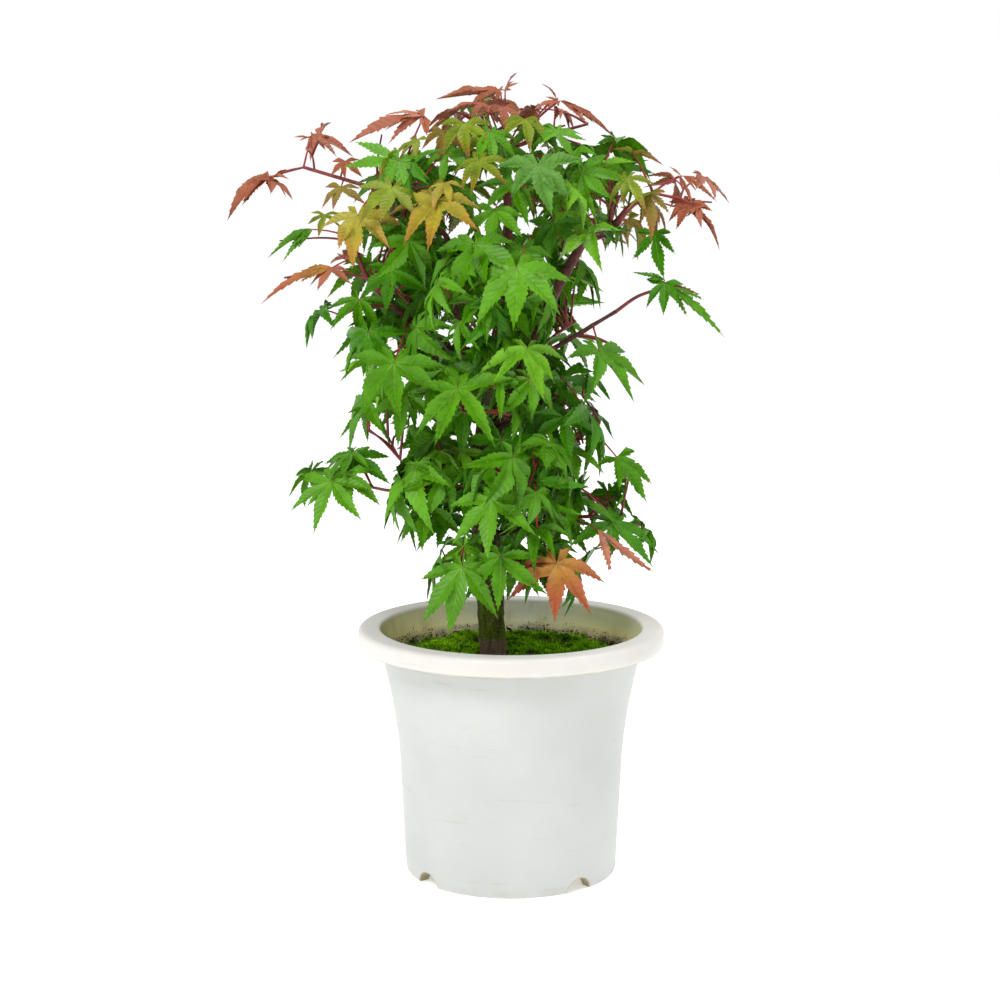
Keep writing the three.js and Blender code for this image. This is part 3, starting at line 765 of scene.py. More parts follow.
young_bark = Finish("young_bark", 0.62, specular_ior_level=0.35)
z = young_bark.axes(young_bark.place())[2]
grain = young_bark.noise(young_bark.place(), 380.0, 4.0, 0.6)
woody = young_bark.blend(grain.ramp(0.35, 0.7), rgb(0.03, 0.013, 0.009), rgb(0.12, 0.05, 0.03))
reddish = young_bark.blend(grain.ramp(0.35, 0.7), rgb(0.06, 0.012, 0.012), rgb(0.2, 0.045, 0.035))
young_bark.colour(young_bark.blend(z.ramp(225 * MM, 330 * MM), woody, reddish))
young_bark.bump(grain, 0.3 * MM)
for name, bough in bough_pieces.items():
    bough.data.materials.append(young_bark.material)
    if name in BOUGHS:
        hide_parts(name)
    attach(bough, "root")

SAWN_PLACE = Vector((-11.0, -1.6, 233.5)) * MM
SAWN_LEAN = (math.radians(58), 0, 0.1)
SAWN_RADIUS = 3.7 * MM
SAWN_DEPTH = 5 * MM
bpy.ops.object.select_all(action="DESELECT")
bpy.ops.mesh.primitive_cylinder_add(
    vertices=28, radius=SAWN_RADIUS, depth=SAWN_DEPTH, location=SAWN_PLACE, rotation=SAWN_LEAN
)
sawn = bpy.context.object
sawn.name = "sawn_stub"
edge = sawn.modifiers.new("edge", "BEVEL")
edge.width = 0.5 * MM
edge.segments = 2
bpy.ops.object.modifier_apply(modifier=edge.name)
finish_shape(sawn, 40)
sawn_wood = Finish("weathered_wood", 0.75, specular_ior_level=0.25)
rings = sawn_wood.noise(sawn_wood.place(), 800.0, 3.0)
sawn_wood.colour(sawn_wood.blend(rings.ramp(0.35, 0.65), rgb(0.2, 0.15, 0.09), rgb(0.42, 0.34, 0.22)))
sawn_wood.bump(rings, 0.2 * MM)
sawn.data.materials.append(sawn_wood.material)
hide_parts("trunk")
for piece in (trunk, sawn):
    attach(piece, "root")

# ---- Twigs and leaves ----------------------------------------------------------------------------
# The crown is shoots that fork off the boughs into each mass of foliage. Pairs of leaves stand opposite each
# other on thin crimson stalks. Each blade has five or seven long toothed lobes that droop and fold along
# their ribs, and the youngest leaves are still half shut.

# Each kind of leaf as its middle lobe and those of one side: angle, length, half width and number of teeth.
LOBES_SEVEN = ((0, 1.0, 0.17, 7), (44, 0.97, 0.165, 7), (90, 0.80, 0.13, 6), (142, 0.36, 0.07, 2))
LOBES_FIVE = ((0, 1.0, 0.165, 7), (48, 0.92, 0.155, 7), (98, 0.62, 0.11, 6))
LOBES_CLOSED = ((0, 1.0, 0.13, 7), (30, 0.66, 0.09, 6), (82, 0.34, 0.08, 2))
LOBES_SHUT = ((0, 1.0, 0.075, 6), (15, 0.55, 0.05, 6))
RIB_WIDTH = 0.013
TOOTH_LENGTH = 0.013
TOOTH_DEPTH = 0.008


def lobe_width(at, widest):
    """Half the width of a lobe, part of the way from the leaf's foot to the lobe's tip."""
    if at < 0.5:
        swell = min(1, max(0, (at - 0.16) / 0.34))
        return widest * (0.45 + 0.55 * swell**0.8)
    return widest * ((1 - at) / 0.5) ** 1.12


def leaf_blade(lobes, sinus, slim):
    """A flat leaf of unit length on the XY plane, its stalk end at the origin and its middle lobe along Y.
    Returns its points, how far each lies from its lobe's rib (-1 on the raised ribs), the number of its lobe
    (-1 between lobes), its marks (along its lobe, off its rib, both added), blade faces and rib faces."""
    whole = [(-angle, *rest) for angle, *rest in reversed(lobes[1:])] + [tuple(lobe) for lobe in lobes]
    points, off_rib, lobe_of, marks = [(0.0, 0.0)], [0.0], [-1], [(0.0, 0.0, 0.0)]
    blade_faces, rib_faces = [], []

    def add(angle, along, across, off, lobe=-1):
        turn = math.radians(angle)
        x = along * math.sin(turn) + across * math.cos(turn)
        y = along * math.cos(turn) - across * math.sin(turn)
        points.append((x, y))
        off_rib.append(off)
        lobe_of.append(lobe)
        marks.append((along, max(0, off), along + max(0, off)))
        return len(points) - 1

    corners = [add(whole[0][0] - 22, 0.05, 0, 0.02)]
    for (first, first_long, *_), (second, second_long, *_) in zip(whole, whole[1:]):
        reach = sinus * (0.3 + 0.7 * min(first_long, second_long))
        corners.append(add((first + second) / 2, reach, 0, 0.06))
    corners.append(add(whole[-1][0] + 22, 0.05, 0, 0.02))
    for place, (angle, length, width, teeth) in enumerate(whole):
        width = width * slim
        tip = add(angle, length, 0, 0, place)
        notches = [0.28 + 0.60 * (step + 1) / teeth for step in range(teeth)]
        sections = ((0, 2), (2, 4), (4, teeth)) if teeth > 4 else ((0, teeth),)
        ribs = [add(angle, length * (notches[end - 1] - 0.08), 0, 0, place) for _, end in sections[:-1]]
        middles = [0, *ribs, tip]
        for side, corner in ((-1, corners[place]), (1, corners[place + 1])):
            outline = [corner]
            for at in notches:
                spread = lobe_width(at, width)
                tooth = side * (spread + TOOTH_LENGTH)
                notch = side * (spread * 0.94 - TOOTH_DEPTH)
                outline.append(add(angle, length * (at - 0.005), tooth, spread, place))
                outline.append(add(angle, length * at, notch, spread, place))
            for number, (start, end) in enumerate(sections):
                face = [middles[number], *outline[2 * start : 2 * end + 1], middles[number + 1]]
                blade_faces.append(face if side > 0 else face[::-1])
        root = RIB_WIDTH * (0.4 + 0.6 * length)
        edges = []
        for side, at, share in ((-1, 0.04, 1), (-1, 0.5, 0.55), (1, 0.5, 0.55), (1, 0.04, 1)):
            edges.append(add(angle, length * at, side * root * share, -1, place))
        end = add(angle, length * 0.88, 0, -1, place)
        rib_faces += [tuple(edges), (edges[1], end, edges[2])]
    return np.array(points), np.array(off_rib), np.array(lobe_of), np.array(marks), blade_faces, rib_faces


LEAF_KINDS = [
    leaf_blade(LOBES_SEVEN, 0.27, 1.0),
    leaf_blade(LOBES_SEVEN, 0.24, 0.84),
    leaf_blade(LOBES_SEVEN, 0.29, 1.15),
    leaf_blade(LOBES_FIVE, 0.26, 1.0),
    leaf_blade(LOBES_FIVE, 0.22, 0.74),
    leaf_blade(LOBES_CLOSED, 0.24, 1.0),
    leaf_blade(LOBES_SHUT, 0.2, 1.0),
]


def only_used(points, marks, faces):
    """The points that these faces use, the faces numbered to match, and the points' marks."""
    used = sorted({corner for face in faces for corner in face})
    numbers = {old: new for new, old in enumerate(used)}
    return points[used], [tuple(numbers[corner] for corner in face) for face in faces], marks[used]


def bent_leaf(kind, deal, droop, fold, twist=0.0, curl=0.0):
    """One leaf, folded up along each rib and drooping to its tips, its lobes unevenly spread and long."""
    points, off_rib, lobe_of, marks, blade_faces, rib_faces = kind
    lobes = lobe_of.max() + 1
    turns = np.array([deal.gauss(0, 0.10) for _ in range(lobes)] + [0.0])[lobe_of]
    marks = marks + np.array([0, 0, deal.uniform(-0.12, 0.04)])
    lengths = np.array([1 + deal.gauss(0, 0.08) for _ in range(lobes)] + [1.0])[lobe_of]
    sinks = np.array([deal.gauss(0, 0.13) for _ in range(lobes)] + [0.0])[lobe_of]
    sickle = np.array([deal.gauss(0, 0.12) for _ in range(lobes)] + [0.0])[lobe_of]
    reach = np.hypot(points[:, 0], points[:, 1])
    turns = turns + sickle * reach
    x = (points[:, 0] * np.cos(turns) - points[:, 1] * np.sin(turns)) * lengths
    y = (points[:, 0] * np.sin(turns) + points[:, 1] * np.cos(turns)) * lengths
    off = np.maximum(off_rib, 0)
    wobble = np.array([deal.uniform(-1, 1) for _ in points]) * 0.014 * (off > 0.03)
    z = fold * off - (droop + sinks) * reach**1.8 + twist * x * y + wobble + np.where(off_rib < 0, 0.004, 0)
    z = z - curl * np.abs(x) ** 1.5
    shrink = 1 - 0.25 * droop * reach
    placed = np.stack([x * shrink, y * shrink, z], axis=1)
    return only_used(placed, marks, blade_faces), only_used(placed, marks, rib_faces)


CROWN_AXIS = Vector((-8, 0, 0)) * MM
LEAF_SPACING = 13.5 * MM
LEAF_MIDDLE = 0.45
STALK_RADIUS = 0.50

blades = {}
ribs = {}
stalks = []
twigs = []
leaf_middles = []
tree_of = {}


def mass_tree(node_name):
    """A tree for finding the nearest place on a mass of foliage, kept for the next time."""
    if node_name not in tree_of:
        mesh = frame["nodes"][node_name].data
        places = [vertex.co.copy() for vertex in mesh.vertices]
        tree_of[node_name] = BVHTree.FromPolygons(places, [tuple(face.vertices) for face in mesh.polygons])
    return tree_of[node_name]


def depth_in(node_name, place):
    """How deep a place lies inside a mass. It is negative outside it."""
    nearest, normal, _, distance = mass_tree(node_name).find_nearest(place)
    return distance if (nearest - place).dot(normal) > 0 else -distance


def add_leaf(tint, base, along, normal, length, deal, stalk_from=None, droop=None, kind=None):
    """Hangs one leaf by its stalk end, its middle lobe along a direction and its face along a normal."""
    along = along.normalized()
    side = along.cross(normal).normalized()
    face = side.cross(along)
    frame_of_leaf = np.array([side, along, face])
    shape = LEAF_KINDS[deal.choice((0, 0, 1, 1, 2, 3, 4))] if kind is None else LEAF_KINDS[kind]
    droop = deal.uniform(0.10, 0.48) if droop is None else droop
    blade, rib = bent_leaf(
        shape, deal, droop, deal.uniform(0.4, 1.2), deal.uniform(-0.35, 0.35), deal.uniform(0.0, 0.45)
    )
    stretch = np.array([deal.uniform(0.88, 1.1), 1, 1]) * length
    blades.setdefault(tint, []).append((blade[0] * stretch @ frame_of_leaf + np.array(base), *blade[1:]))
    ribs.setdefault(tint, []).append((rib[0] * stretch @ frame_of_leaf + np.array(base), *rib[1:]))
    leaf_middles.append((base + along * length * LEAF_MIDDLE, face))
    if stalk_from is not None:
        sag = (base - stalk_from).length * 0.05
        bow = (stalk_from + base) / 2 + Vector((0, 0, sag))
        route = smooth_route([stalk_from, bow, base], 5)
        stalks.append([(place, (STALK_RADIUS - 0.16 * step / 5) * MM) for step, place in enumerate(route)])


# Gaps where the sky shows through, each as its middle across and up, its half width and half height, and
# below them the gaps that show the trunk. They are seen from the front, in millimetres.
SKY_GAPS = (
    (52, 299, 12, 9), (-65, 294, 7, 5), (-79, 305, 5, 6), (8, 315, 7, 6), (-63, 208, 9, 10),
    (-48, 160, 9, 12), (62, 218, 12, 14), (61, 265, 19, 14), (-78, 233, 6, 9), (38, 194, 4, 9),
    (-84, 329, 11, 4), (-92, 305, 7, 3), (-30, 171, 6, 5), (-75, 302, 8, 7), (-64, 288, 5, 5),
    (44, 168, 6, 6), (-22, 236, 3, 3), (16, 234, 4, 4), (68, 243, 12, 11), (59, 226, 8, 9),
    (43, 189, 9, 10), (67, 195, 9, 16), (70, 173, 8, 8), (-90, 262, 6, 16), (-77, 231, 7, 9),
    (-93, 245, 5, 9), (-32, 379, 7, 6), (13, 377, 9, 8), (43, 362, 8, 5), (43, 303, 13, 9),
    (40, 270, 8, 9), (40, 250, 7, 8), (40, 232, 7, 7), (26, 382, 8, 6), (30, 261, 3, 4),
    (56, 245, 6, 7), (41, 196, 6, 9),
)
TRUNK_WINDOWS = ((-11, 219, 7, 13), (-12, 203, 6, 11), (-11, 163, 7, 7))


def in_gap(place):
    """Whether a place lies in a gap, as seen from the front."""
    nearer = CAMERA_PLACE.y / (CAMERA_PLACE.y - place.y)
    across = (CAMERA_PLACE.x + (place.x - CAMERA_PLACE.x) * nearer) / MM
    up = (CAMERA_PLACE.z + (place.z - CAMERA_PLACE.z) * nearer) / MM
    gaps = SKY_GAPS + TRUNK_WINDOWS if place.y < 0 else SKY_GAPS
    return any(((across - x) / wide) ** 2 + ((up - z) / tall) ** 2 < 1 for x, z, wide, tall in gaps)


show_places = []


def hides_show_leaf(middle):
    """Whether a leaf would hang in front of one that stands out, as seen from the front."""
    for place, radius in show_places:
        if (middle - place).length < radius * 0.9:
            return True
        if middle.y < place.y + 3 * MM and math.hypot(middle.x - place.x, middle.z - place.z) < radius:
            return True
    return False


def room_for(middle, face):
    """Whether no other leaf lies too close. Leaves that face alike need more room."""
    for other, other_face in leaf_middles:
        apart = (middle - other).length
        alike = abs(face.dot(other_face))
        if apart < LEAF_SPACING * (0.45 + 0.75 * alike):
            return False
    return True


def outwards(place):
    """Level direction from the crown's axis through a place."""
    out = Vector((place.x - CROWN_AXIS.x, place.y - CROWN_AXIS.y, 0))
    return out.normalized() if out.length > 1e-6 else Vector((0, -1, 0))


def leaf_stance(stalk, place, deal, flat=0.0):
    """A natural heading for a blade at the end of its stalk, outwards and down, with its face upwards."""
    level = Vector((stalk.x, stalk.y, 0)) * 0.8 + outwards(place) * 0.75
    level += Vector((deal.gauss(0, 0.3), deal.gauss(0, 0.3), 0))
    level = level.normalized()
    sink = math.radians(deal.gauss(46, 16) * (1 - flat))
    along = level * math.cos(sink) - Vector((0, 0, 1)) * math.sin(sink)
    face = level * math.sin(sink) + Vector((0, 0, 1)) * math.cos(sink)
    roll = Matrix.Rotation(deal.gauss(0, 0.38), 3, along)
    return along, roll @ face


limb_places = []
for name, stem in limb_stems.items():
    first = 0 if name.startswith("shoot") else 4
    limb_places += [(point * MM, radius * MM) for point, radius in stem[first:]]
limb_places += [(point * MM, 2.4 * MM) for point in trunk_route if point.z > 150]

GREENS = ("deep_green", "mid_green", "fresh_green", "lime_green", "blue_green")
# For each part of the crown, the share of each green among its sprays, and the length of its leaves.
MASS_TINTS = {
    "low": ((0.30, 0.43, 0.20, 0.06, 0.01), 27),
    "skirt": ((0.30, 0.45, 0.22, 0.03, 0.0), 26),
    "waist": ((0.30, 0.43, 0.20, 0.06, 0.01), 27),
    "mid": ((0.28, 0.42, 0.20, 0.07, 0.03), 28),
    "upper": ((0.16, 0.38, 0.26, 0.08, 0.12), 24),
    "top": ((0.06, 0.28, 0.34, 0.16, 0.16), 19),
    "left": ((0.30, 0.45, 0.25, 0.0, 0.0), 24),
    "right": ((0.40, 0.45, 0.15, 0.0, 0.0), 25),
    "back": ((0.25, 0.42, 0.25, 0.05, 0.03), 24),
}
# The tints of the sprays in the masses that have their own.
SPRAY_TINTS = {
    "leaves_skirt_front_right": ("mid_green", "deep_green", "fresh_green"),
    "leaves_left_tip_red": ("brick_red", "orange_red", "brick_red"),
    "leaves_left_tip_far": ("brick_red", "orange_red"),
    "leaves_left_tip_high": ("brick_red", "salmon", "brick_red"),
    "leaves_right_tip_red": ("brick_red", "bronze", "olive", "bronze"),
    "leaves_top_left_tip": ("brick_red", "salmon", "olive"),
    "leaves_top_left": ("olive", "olive", "lime_green", "olive", "mid_green", "fresh_green"),
    "leaves_top_right": ("bronze", "olive", "fresh_green", "blue_green", "fresh_green", "mid_green"),
    "leaves_top_back": ("bronze", "olive", "fresh_green", "mid_green"),
    "leaves_back_tip_left": ("bronze", "olive", "brick_red"),
    "leaves_back_tip_right": ("bronze", "olive", "orange_red"),
    "leaves_upper_left": ("deep_green", "mid_green", "olive", "fresh_green", "mid_green", "blue_green"),
}


def tint_for(node_name, end, deal):
    """The tint of one spray, which turns from green to bronze and red in the youngest growth at the top."""
    if node_name.startswith("leaves_top") and end.z > 362 * MM:
        return deal.choice(("brick_red", "bronze", "olive", "brick_red", "salmon"))
    if node_name.startswith("leaves_upper") and deal.random() < 0.16:
        return deal.choice(("olive", "olive", "bronze"))
    if node_name in SPRAY_TINTS:
        return deal.choice(SPRAY_TINTS[node_name])
    part = node_name.split("_")[1]
    return deal.choices(GREENS, MASS_TINTS[part][0])[0]


# Leaves that stand out on the real tree, each with its tint, stalk end, heading (turn and sink), roll, length
# and kind. Turns are in degrees from +X towards +Y, sink is the angle below level, the rest in millimetres.
SHOW_LEAVES = [
    ("brick_red", (-114, -8, 339), 186, 22, -40, 27, 5),
    ("brick_red", (-114, -9, 339), -12, 34, 10, 14, 2),
    ("orange_red", (-113, -8, 339), 8, -26, 0, 13, 5),
    ("brick_red", (-94, -8, 358), 4, 10, 24, 25, 5),
    ("brick_red", (-94, -8, 358), 178, 5, 10, 10, 5),
    ("brick_red", (-78, -12, 347), 262, 70, 0, 11, 3),
    ("mid_green", (-94, -8, 315), 184, 22, -45, 33, 6),
    ("mid_green", (-94, -9, 315), 200, 44, -40, 23, 6),
    ("orange_red", (-85, -8, 297), 184, 10, -45, 36, 6),
    ("brick_red", (-85, -10, 297), 240, 40, 0, 14, 3),
    ("brick_red", (-80, -6, 301), 60, -20, 0, 14, 3),
    ("brick_red", (-41, -6, 368), 184, 9, -28, 34, 5),
    ("salmon", (-41, -8, 368), 176, -14, -30, 20, 6),
    ("brick_red", (-5, 0, 379), 180, 2, -22, 30, 5),
    ("brick_red", (-3, 0, 380), 20, -62, 0, 12, 5),
    ("brick_red", (-12, -10, 373), 200, 6, -20, 22, 5),
    ("brick_red", (23, -2, 375), -2, 28, 42, 34, 6),
    ("brick_red", (22, -2, 375), 180, 6, -30, 13, 5),
    ("brick_red", (21, -2, 376), 160, -62, 0, 12, 6),
    ("olive", (57, -10, 351), 200, -20, 10, 12, 5),
    ("bronze", (57, -8, 351), 4, 6, 40, 18, 6),
    ("brick_red", (81, -4, 340), -6, 32, 45, 20, 6),
    ("orange_red", (80, -6, 340), 190, -40, 20, 9, 6),
    ("brick_red", (79, -8, 340), -40, 58, 20, 17, 6),
    ("brick_red", (85, -6, 326), -4, 42, 45, 30, 6),
    ("brick_red", (84, -8, 327), 250, 60, 0, 15, 2),
    ("olive", (66, -14, 332), 190, 12, 20, 17, 5),
    ("bronze", (64, -12, 332), -70, 50, 20, 22, 5),
    ("mid_green", (73, -6, 290), -8, 42, 45, 42, 6),
    ("deep_green", (73, -8, 290), 250, 62, 0, 17, 3),
    ("mid_green", (73, -6, 291), 175, -20, -40, 16, 6),
    ("deep_green", (68, -6, 314), -75, 76, 20, 25, 5),
    ("fresh_green", (-86, -16, 196), 250, 48, 0, 27, 1),
    ("mid_green", (-77, -6, 208), 215, 30, 0, 20, 1),
    ("fresh_green", (-25, -50, 244), 258, 50, 0, 31, 1),
    ("fresh_green", (2, -56, 299), 266, 46, 5, 33, 2),
    ("mid_green", (-54, -42, 255), 262, 50, 0, 31, 0),
    ("lime_green", (7, -52, 262), 274, 52, 0, 27, 1),
    ("fresh_green", (-9, -48, 192), 266, 52, 0, 29, 0),
    ("mid_green", (-23, -46, 160), 262, 56, 0, 31, 0),
    ("orange_red", (21, -44, 161), 262, 48, 0, 31, 0),
    ("salmon", (41, -28, 174), -30, 42, 30, 36, 6),
    ("mid_green", (41, -26, 259), -40, 44, 0, 30, 0),
    ("mid_green", (50, -20, 208), -38, 48, 30, 30, 5),
    ("deep_green", (48, -16, 176), -30, 42, 20, 30, 1),
    ("blue_green", (12, -38, 345), 268, 60, 0, 25, 2),
    ("olive", (-15, -34, 347), 262, 55, 0, 18, 1),
    ("lime_green", (37, -30, 314), 225, 35, 15, 24, 2),
    ("fresh_green", (28, -20, 350), 225, 30, 15, 20, 2),
    ("yellow", (-71, -32, 322), 262, 46, 0, 27, 0),
    ("yellow", (-34, -39, 329), 268, 46, 0, 30, 0),
    ("yellow", (-31, -32, 337), 240, 30, 0, 17, 3),
    ("mid_green", (-5, -46, 165), 262, 62, 10, 27, 1),
    ("mid_green", (1, -30, 337), 272, 60, 0, 20, 1),
    ("fresh_green", (-8, -30, 325), 255, 62, 0, 21, 3),
    ("brick_red", (-4, -8, 372), 275, 48, 0, 14, 3),
    ("olive", (54, -16, 339), 250, 50, 0, 19, 1),
    ("fresh_green", (-79, -14, 200), 262, 60, 0, 22, 3),
    ("deep_green", (-75, -4, 207), 262, 62, 0, 20, 0),
    ("olive", (-22, -24, 364), 262, 58, 0, 20, 3),
    ("fresh_green", (-10, -26, 360), 282, 60, 0, 18, 1),
    ("mid_green", (8, -30, 165), 256, 64, 0, 22, 3),
    ("deep_green", (17, -26, 161), 282, 66, 0, 20, 0),
    ("mid_green", (3, -20, 161), 255, 68, 0, 23, 3),
    ("mid_green", (-40, -14, 184), 258, 62, 0, 24, 3),
    ("fresh_green", (16, -30, 158), 225, 40, 0, 24, 3),
    ("fresh_green", (-30, -18, 352), 250, 50, 0, 19, 1),
    ("olive", (-14, -14, 356), 275, 50, 0, 18, 3),
    ("mid_green", (-4, -16, 352), 262, 58, 0, 19, 0),
    ("mid_green", (12, -14, 362), 270, 50, 0, 18, 3),
    ("bronze", (-80, -12, 335), 250, 50, 0, 15, 3),
    ("brick_red", (88, -10, 326), 262, 50, 0, 14, 5),
    ("mid_green", (-50, -16, 238), 262, 62, 0, 23, 1),
    ("deep_green", (-22, -12, 230), 262, 60, 0, 24, 0),
    ("deep_green", (20, -14, 318), 250, 66, 0, 22, 3),
    ("deep_green", (-33, -10, 181), 282, 62, 0, 21, 0),
    ("olive", (-44, -14, 357), 215, 40, 0, 17, 3),
    ("bronze", (-32, -16, 361), 262, 55, 0, 16, 3),
    ("olive", (6, -20, 366), 285, 45, 0, 17, 3),
    ("fresh_green", (21, -16, 361), 290, 45, 0, 17, 1),
    ("olive", (-88, -10, 322), 262, 50, 0, 13, 4),
    ("mid_green", (-72, -12, 282), 262, 58, 0, 22, 1),
]

deal = random.Random(5)
for tint, place, turn, sink, roll, length, kind in SHOW_LEAVES:
    base = Vector(place) * MM
    level = Vector((math.cos(math.radians(turn)), math.sin(math.radians(turn)), 0))
    down = math.radians(sink)
    along = level * math.cos(down) - Vector((0, 0, 1)) * math.sin(down)
    face = level * math.sin(down) + Vector((0, 0, 1)) * math.cos(down)
    face = Matrix.Rotation(math.radians(roll), 3, along) @ face
    reach = min(limb_places, key=lambda spot: (spot[0] - base).length)
    away = reach[0] - base
    stalk_from = base + away.normalized() * min(away.length, deal.uniform(16, 24) * MM)
    add_leaf(tint, base, along, face, length * MM, deal, stalk_from, 0.16, kind)
    show_places.append((base + along * length * LEAF_MIDDLE * MM, length * 0.75 * MM))
    if away.length > 17 * MM:
        bow = (reach[0] + stalk_from) / 2 + Vector((0, 0, away.length * 0.03))
        route = smooth_route([reach[0], bow, stalk_from], 8)
        twigs.append([(spot, (0.75 - 0.03 * step) * MM) for step, spot in enumerate(route)])

# How many leaves are grown in masses that the leaves that stand out already fill for the most part.
FEW_MORE = {
    "leaves_left_tip_far": 0,
    "leaves_left_tip_green": 0,
    "leaves_left_tip_red": 0,
    "leaves_left_tip_high": 1,
    "leaves_right_tip_red": 6,
    "leaves_right_tip_green": 2,
    "leaves_top_left_tip": 3,
    "leaves_low_left_tip": 1,
    "leaves_left_tip_low": 3,
    "leaves_skirt_front_right": 4,
    "leaves_skirt_front_left": 5,
}
POT_TOP_CLEAR = POT_HEIGHT + 6 * MM
INSIDE_MOUTH = 50 * MM
mass_names = sorted(name for name in frame["nodes"] if name.startswith("leaves_"))
for number, node_name in enumerate(mass_names):
    deal = random.Random(100 + number)
    low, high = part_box(node_name)
    middle = (low + high) / 2
    size = high - low
    part = node_name.split("_")[1]
    length = MASS_TINTS[part][1] * MM
    tip_mass = "tip" in node_name
    if tip_mass:
        length = min(length, 21 * MM)
    root = min(limb_places, key=lambda spot: (spot[0] - middle).length + 0.7 * max(0, spot[0].z - middle.z))
    far_side = middle + outwards(middle) * 0.22 * min(size.x, size.y)
    climb = far_side - root[0]
    sway = Vector([deal.gauss(0, 1.2) * MM for _ in range(3)])
    bow = root[0] + climb * 0.5 + Vector((0, 0, climb.length * 0.04)) + sway
    stem = smooth_route([root[0], bow, far_side], 12)
    thickness = min(root[1] * 0.75, (0.9 if tip_mass else 1.25) * MM)
    twigs.append([(place, thickness * (1 - 0.45 * step / 12)) for step, place in enumerate(stem)])
    room_each = 4600 if tip_mass else 9600 if part in ("mid", "waist") else 8000
    wanted = max(3, round(size.x * size.y * size.z / MM**3 / room_each))
    wanted = FEW_MORE.get(node_name, wanted)
    hung = 0
    for shoot in range(70):
        if hung >= wanted:
            break
        fork = stem[deal.randrange(4, 13)]
        aim = Vector([deal.gauss(0, 1) for _ in range(3)]).normalized()
        aim = (aim + outwards(middle) * 0.75 + Vector((0, 0, 0.2))).normalized()
        target = mass_tree(node_name).ray_cast(middle, aim)[0]
        if target is None:
            continue
        end = fork.lerp(target, deal.uniform(0.55, 0.8))
        if (end - fork).length < 6 * MM:
            continue
        heading = (end - fork).normalized()
        tint = tint_for(node_name, end, deal)
        nodes_at = (1.0, 0.62) if (end - fork).length > 16 * MM else (1.0,)
        spread_turn = deal.uniform(0, math.pi)
        grown = 0
        for at in nodes_at:
            lift = 0.05 * (end - fork).length * at * (1 - at) * 4
            joint = fork.lerp(end, at) + Vector((0, 0, lift))
            spread_turn += math.pi / 2
            sideways = heading.cross(Vector((0, 0, 1)))
            sideways = sideways.normalized() if sideways.length > 0.1 else Vector((1, 0, 0))
            for hand in (-1, 1):
                spread = Matrix.Rotation(spread_turn, 3, heading) @ sideways * hand
                stalk = spread * deal.uniform(0.5, 1.0) + heading * 0.75 + Vector((0, 0, 0.25))
                stalk.normalize()
                for attempt in range(4):
                    stalk_length = deal.uniform(9, 21) * MM * (1 - 0.15 * attempt)
                    base = joint + stalk * stalk_length
                    own_length = length * deal.uniform(0.78, 1.14) * (0.86 if at < 1 else 1)
                    flat = 0.6 if base.z > 0.352 else 0.3 if base.z > 0.325 else 0.0
                    along, face = leaf_stance(stalk, base, deal, flat)
                    centre = base + along * own_length * LEAF_MIDDLE
                    tip = base + along * own_length
                    inside = depth_in(node_name, centre) > -3.5 * MM and depth_in(node_name, tip) > -11 * MM
                    side = along.cross(face) * own_length * 0.6
                    if any(in_gap(spot) for spot in (centre, tip, centre + side, centre - side)):
                        continue
                    above_pot = centre.z > POT_TOP_CLEAR or centre.xy.length < INSIDE_MOUTH
                    if inside and above_pot and room_for(centre, face) and not hides_show_leaf(centre):
                        add_leaf(tint, base, along, face, own_length, deal, joint)
                        hung += 1
                        grown += 1
                        break
        if grown:
            arch = Vector((0, 0, 0.05 * (end - fork).length))
            route = smooth_route([fork, (fork + end) / 2 + arch, end], 6)
            twigs.append([(place, (0.72 - 0.04 * step) * MM) for step, place in enumerate(route)])

BROWN = rgb(0.22, 0.13, 0.03)
ORANGE = rgb(0.50, 0.17, 0.04)
RED = rgb(0.36, 0.10, 0.04)
CRIMSON = rgb(0.20, 0.03, 0.03)
# Each tint: the blade's colour, its slot, the colour of its lobes' tips, and where that starts and ends.
TINTS = {
    "deep_green": (rgb(0.056, 0.235, 0.0), "leaves_green", BROWN, 0.93, 1.0),
    "mid_green": (rgb(0.078, 0.265, 0.0), "leaves_green", BROWN, 0.93, 1.0),
    "fresh_green": (rgb(0.105, 0.325, 0.004), "leaves_green", BROWN, 0.94, 1.0),
    "lime_green": (rgb(0.160, 0.410, 0.012), "leaves_green", BROWN, 0.95, 1.0),
    "blue_green": (rgb(0.130, 0.315, 0.050), "leaves_green", BROWN, 0.95, 1.0),
    "olive": (rgb(0.215, 0.285, 0.014), "leaves_bronze", RED, 0.5, 1.0),
    "bronze": (rgb(0.240, 0.175, 0.022), "leaves_bronze", RED, 0.4, 0.9),
    "yellow": (rgb(0.400, 0.345, 0.030), "leaves_bronze", ORANGE, 0.45, 0.95),
    "orange_red": (rgb(0.470, 0.235, 0.045), "leaves_red", rgb(0.43, 0.10, 0.05), 0.15, 0.6),
    "brick_red": (rgb(0.400, 0.125, 0.062), "leaves_red", CRIMSON, 0.75, 1.0),
    "salmon": (rgb(0.480, 0.190, 0.110), "leaves_red", RED, 0.6, 1.0),
}


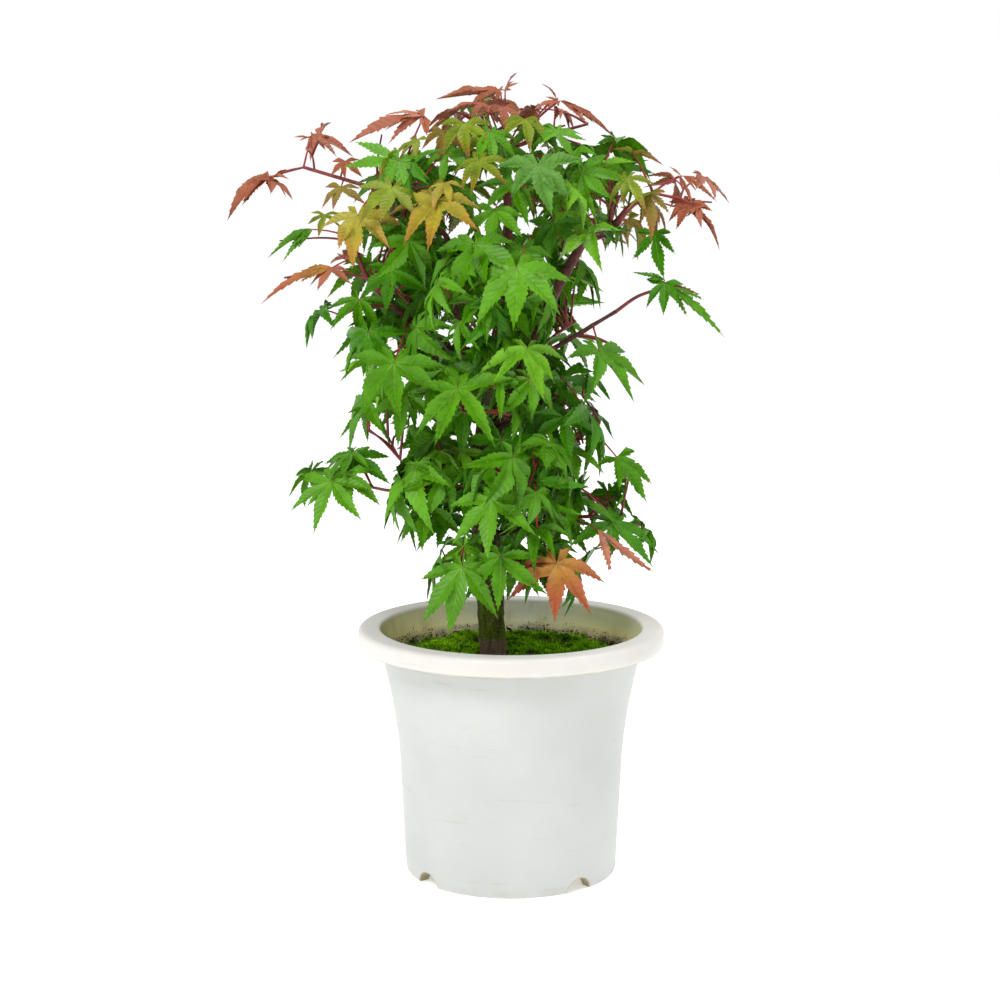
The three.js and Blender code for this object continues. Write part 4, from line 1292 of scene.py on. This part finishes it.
def leaf_finish(name, colour, gloss, tip_colour, tip_start, tip_end):
    """A leaf with a soft shine: mottled, quilted between its side veins, and turning at its lobes' tips."""
    finish = Finish(name, gloss, specular_ior_level=0.3)
    on_leaf = finish.add("ShaderNodeAttribute", {"attribute_name": "leaf_place"}, {}, "Vector")
    along, off, reach = finish.axes(on_leaf)
    vein_steps = along * 10 - off * 12
    between_veins = finish.add("ShaderNodeMath", {"operation": "PINGPONG"}, {0: vein_steps, 1: 0.5})
    vein = (1 - between_veins.ramp(0.04, 0.16)) * (1 - off.ramp(0.07, 0.13))
    mottle = finish.noise(finish.place(), 130.0, 3.0)
    darker = rgb(*(value * 0.80 for value in colour[:3]))
    lighter = rgb(*(min(1, value * 1.18) for value in colour[:3]))
    veined = rgb(*(min(1, value * 1.25 + 0.02) for value in colour[:3]))
    blade = finish.blend(vein * 0.22, finish.blend(mottle.ramp(0.3, 0.7), darker, lighter), veined)
    finish.colour(finish.blend(reach.ramp(tip_start, tip_end) * 0.8, blade, tip_colour))
    finish.rough(gloss - 0.06 + mottle * 0.12)
    crumple = finish.noise(finish.place(), 420.0, 4.0, 0.6)
    finish.bump(between_veins.ramp(0.0, 0.4) * 0.4 + crumple * 1.1, 0.32 * MM, 0.9)
    return finish


def marked(name, parts):
    """One mesh of leaves, with each point's place on its own leaf kept for the finish."""
    piece = joined(name, [part[:2] for part in parts])
    places = piece.data.attributes.new("leaf_place", "FLOAT_VECTOR", "POINT")
    marks = np.concatenate([part[2] for part in parts]).astype(np.float32)
    places.data.foreach_set("vector", marks.ravel())
    return piece


slot_of = {row["node"]: row["material_slot"] for row in frame["record"]["subparts"]}
spoken_for = set()
for tint, (colour, slot, *tip) in TINTS.items():
    piece = marked("leaves_" + tint, blades[tint])
    finish_shape(piece, 22)
    piece.data.materials.append(leaf_finish("leaf_" + tint, colour, 0.40, *tip).material)
    rib_piece = marked("ribs_" + tint, ribs[tint])
    finish_shape(rib_piece, 60)
    pale = [value * 0.75 + 0.06 * share for value, share in zip(colour[:3], (1.3, 2.0, 0.4))]
    if slot == "leaves_red":
        pale = [value * 0.75 + 0.03 for value in colour[:3]]
    rib_piece.data.materials.append(leaf_finish("rib_" + tint, rgb(*pale), 0.5, *tip).material)
    for each in (piece, rib_piece):
        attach(each, "root")
    if slot not in spoken_for:
        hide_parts(*[name for name in mass_names if slot_of[name] == slot])
        spoken_for.add(slot)

twig_piece = rods("young_twigs", twigs, 1)
stalk_piece = rods("crimson_stalks", stalks, 1)
shoot_stems = [[(place * MM, radius * MM) for place, radius in limb_stems[name]] for name in SHOOTS]
shoot_pieces = rods("crimson_shoots", shoot_stems, 3)


def wood_finish(name, dark, light, gloss):
    finish = Finish(name, gloss, specular_ior_level=0.4)
    patches = finish.noise(finish.place(), 260.0, 3.0)
    finish.colour(finish.blend(patches.ramp(0.35, 0.65), dark, light))
    finish.bump(patches, 0.15 * MM)
    return finish


red_wood = wood_finish("red_shoot_bark", rgb(0.12, 0.018, 0.018), rgb(0.27, 0.035, 0.035), 0.45)
crimson = wood_finish("crimson_stalk", rgb(0.27, 0.02, 0.03), rgb(0.44, 0.045, 0.05), 0.4)
for piece, finish in ((twig_piece, red_wood), (shoot_pieces, red_wood), (stalk_piece, crimson)):
    finish_shape(piece, 60)
    piece.data.materials.append(finish.material)
    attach(piece, "root")
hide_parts(*SHOOTS)
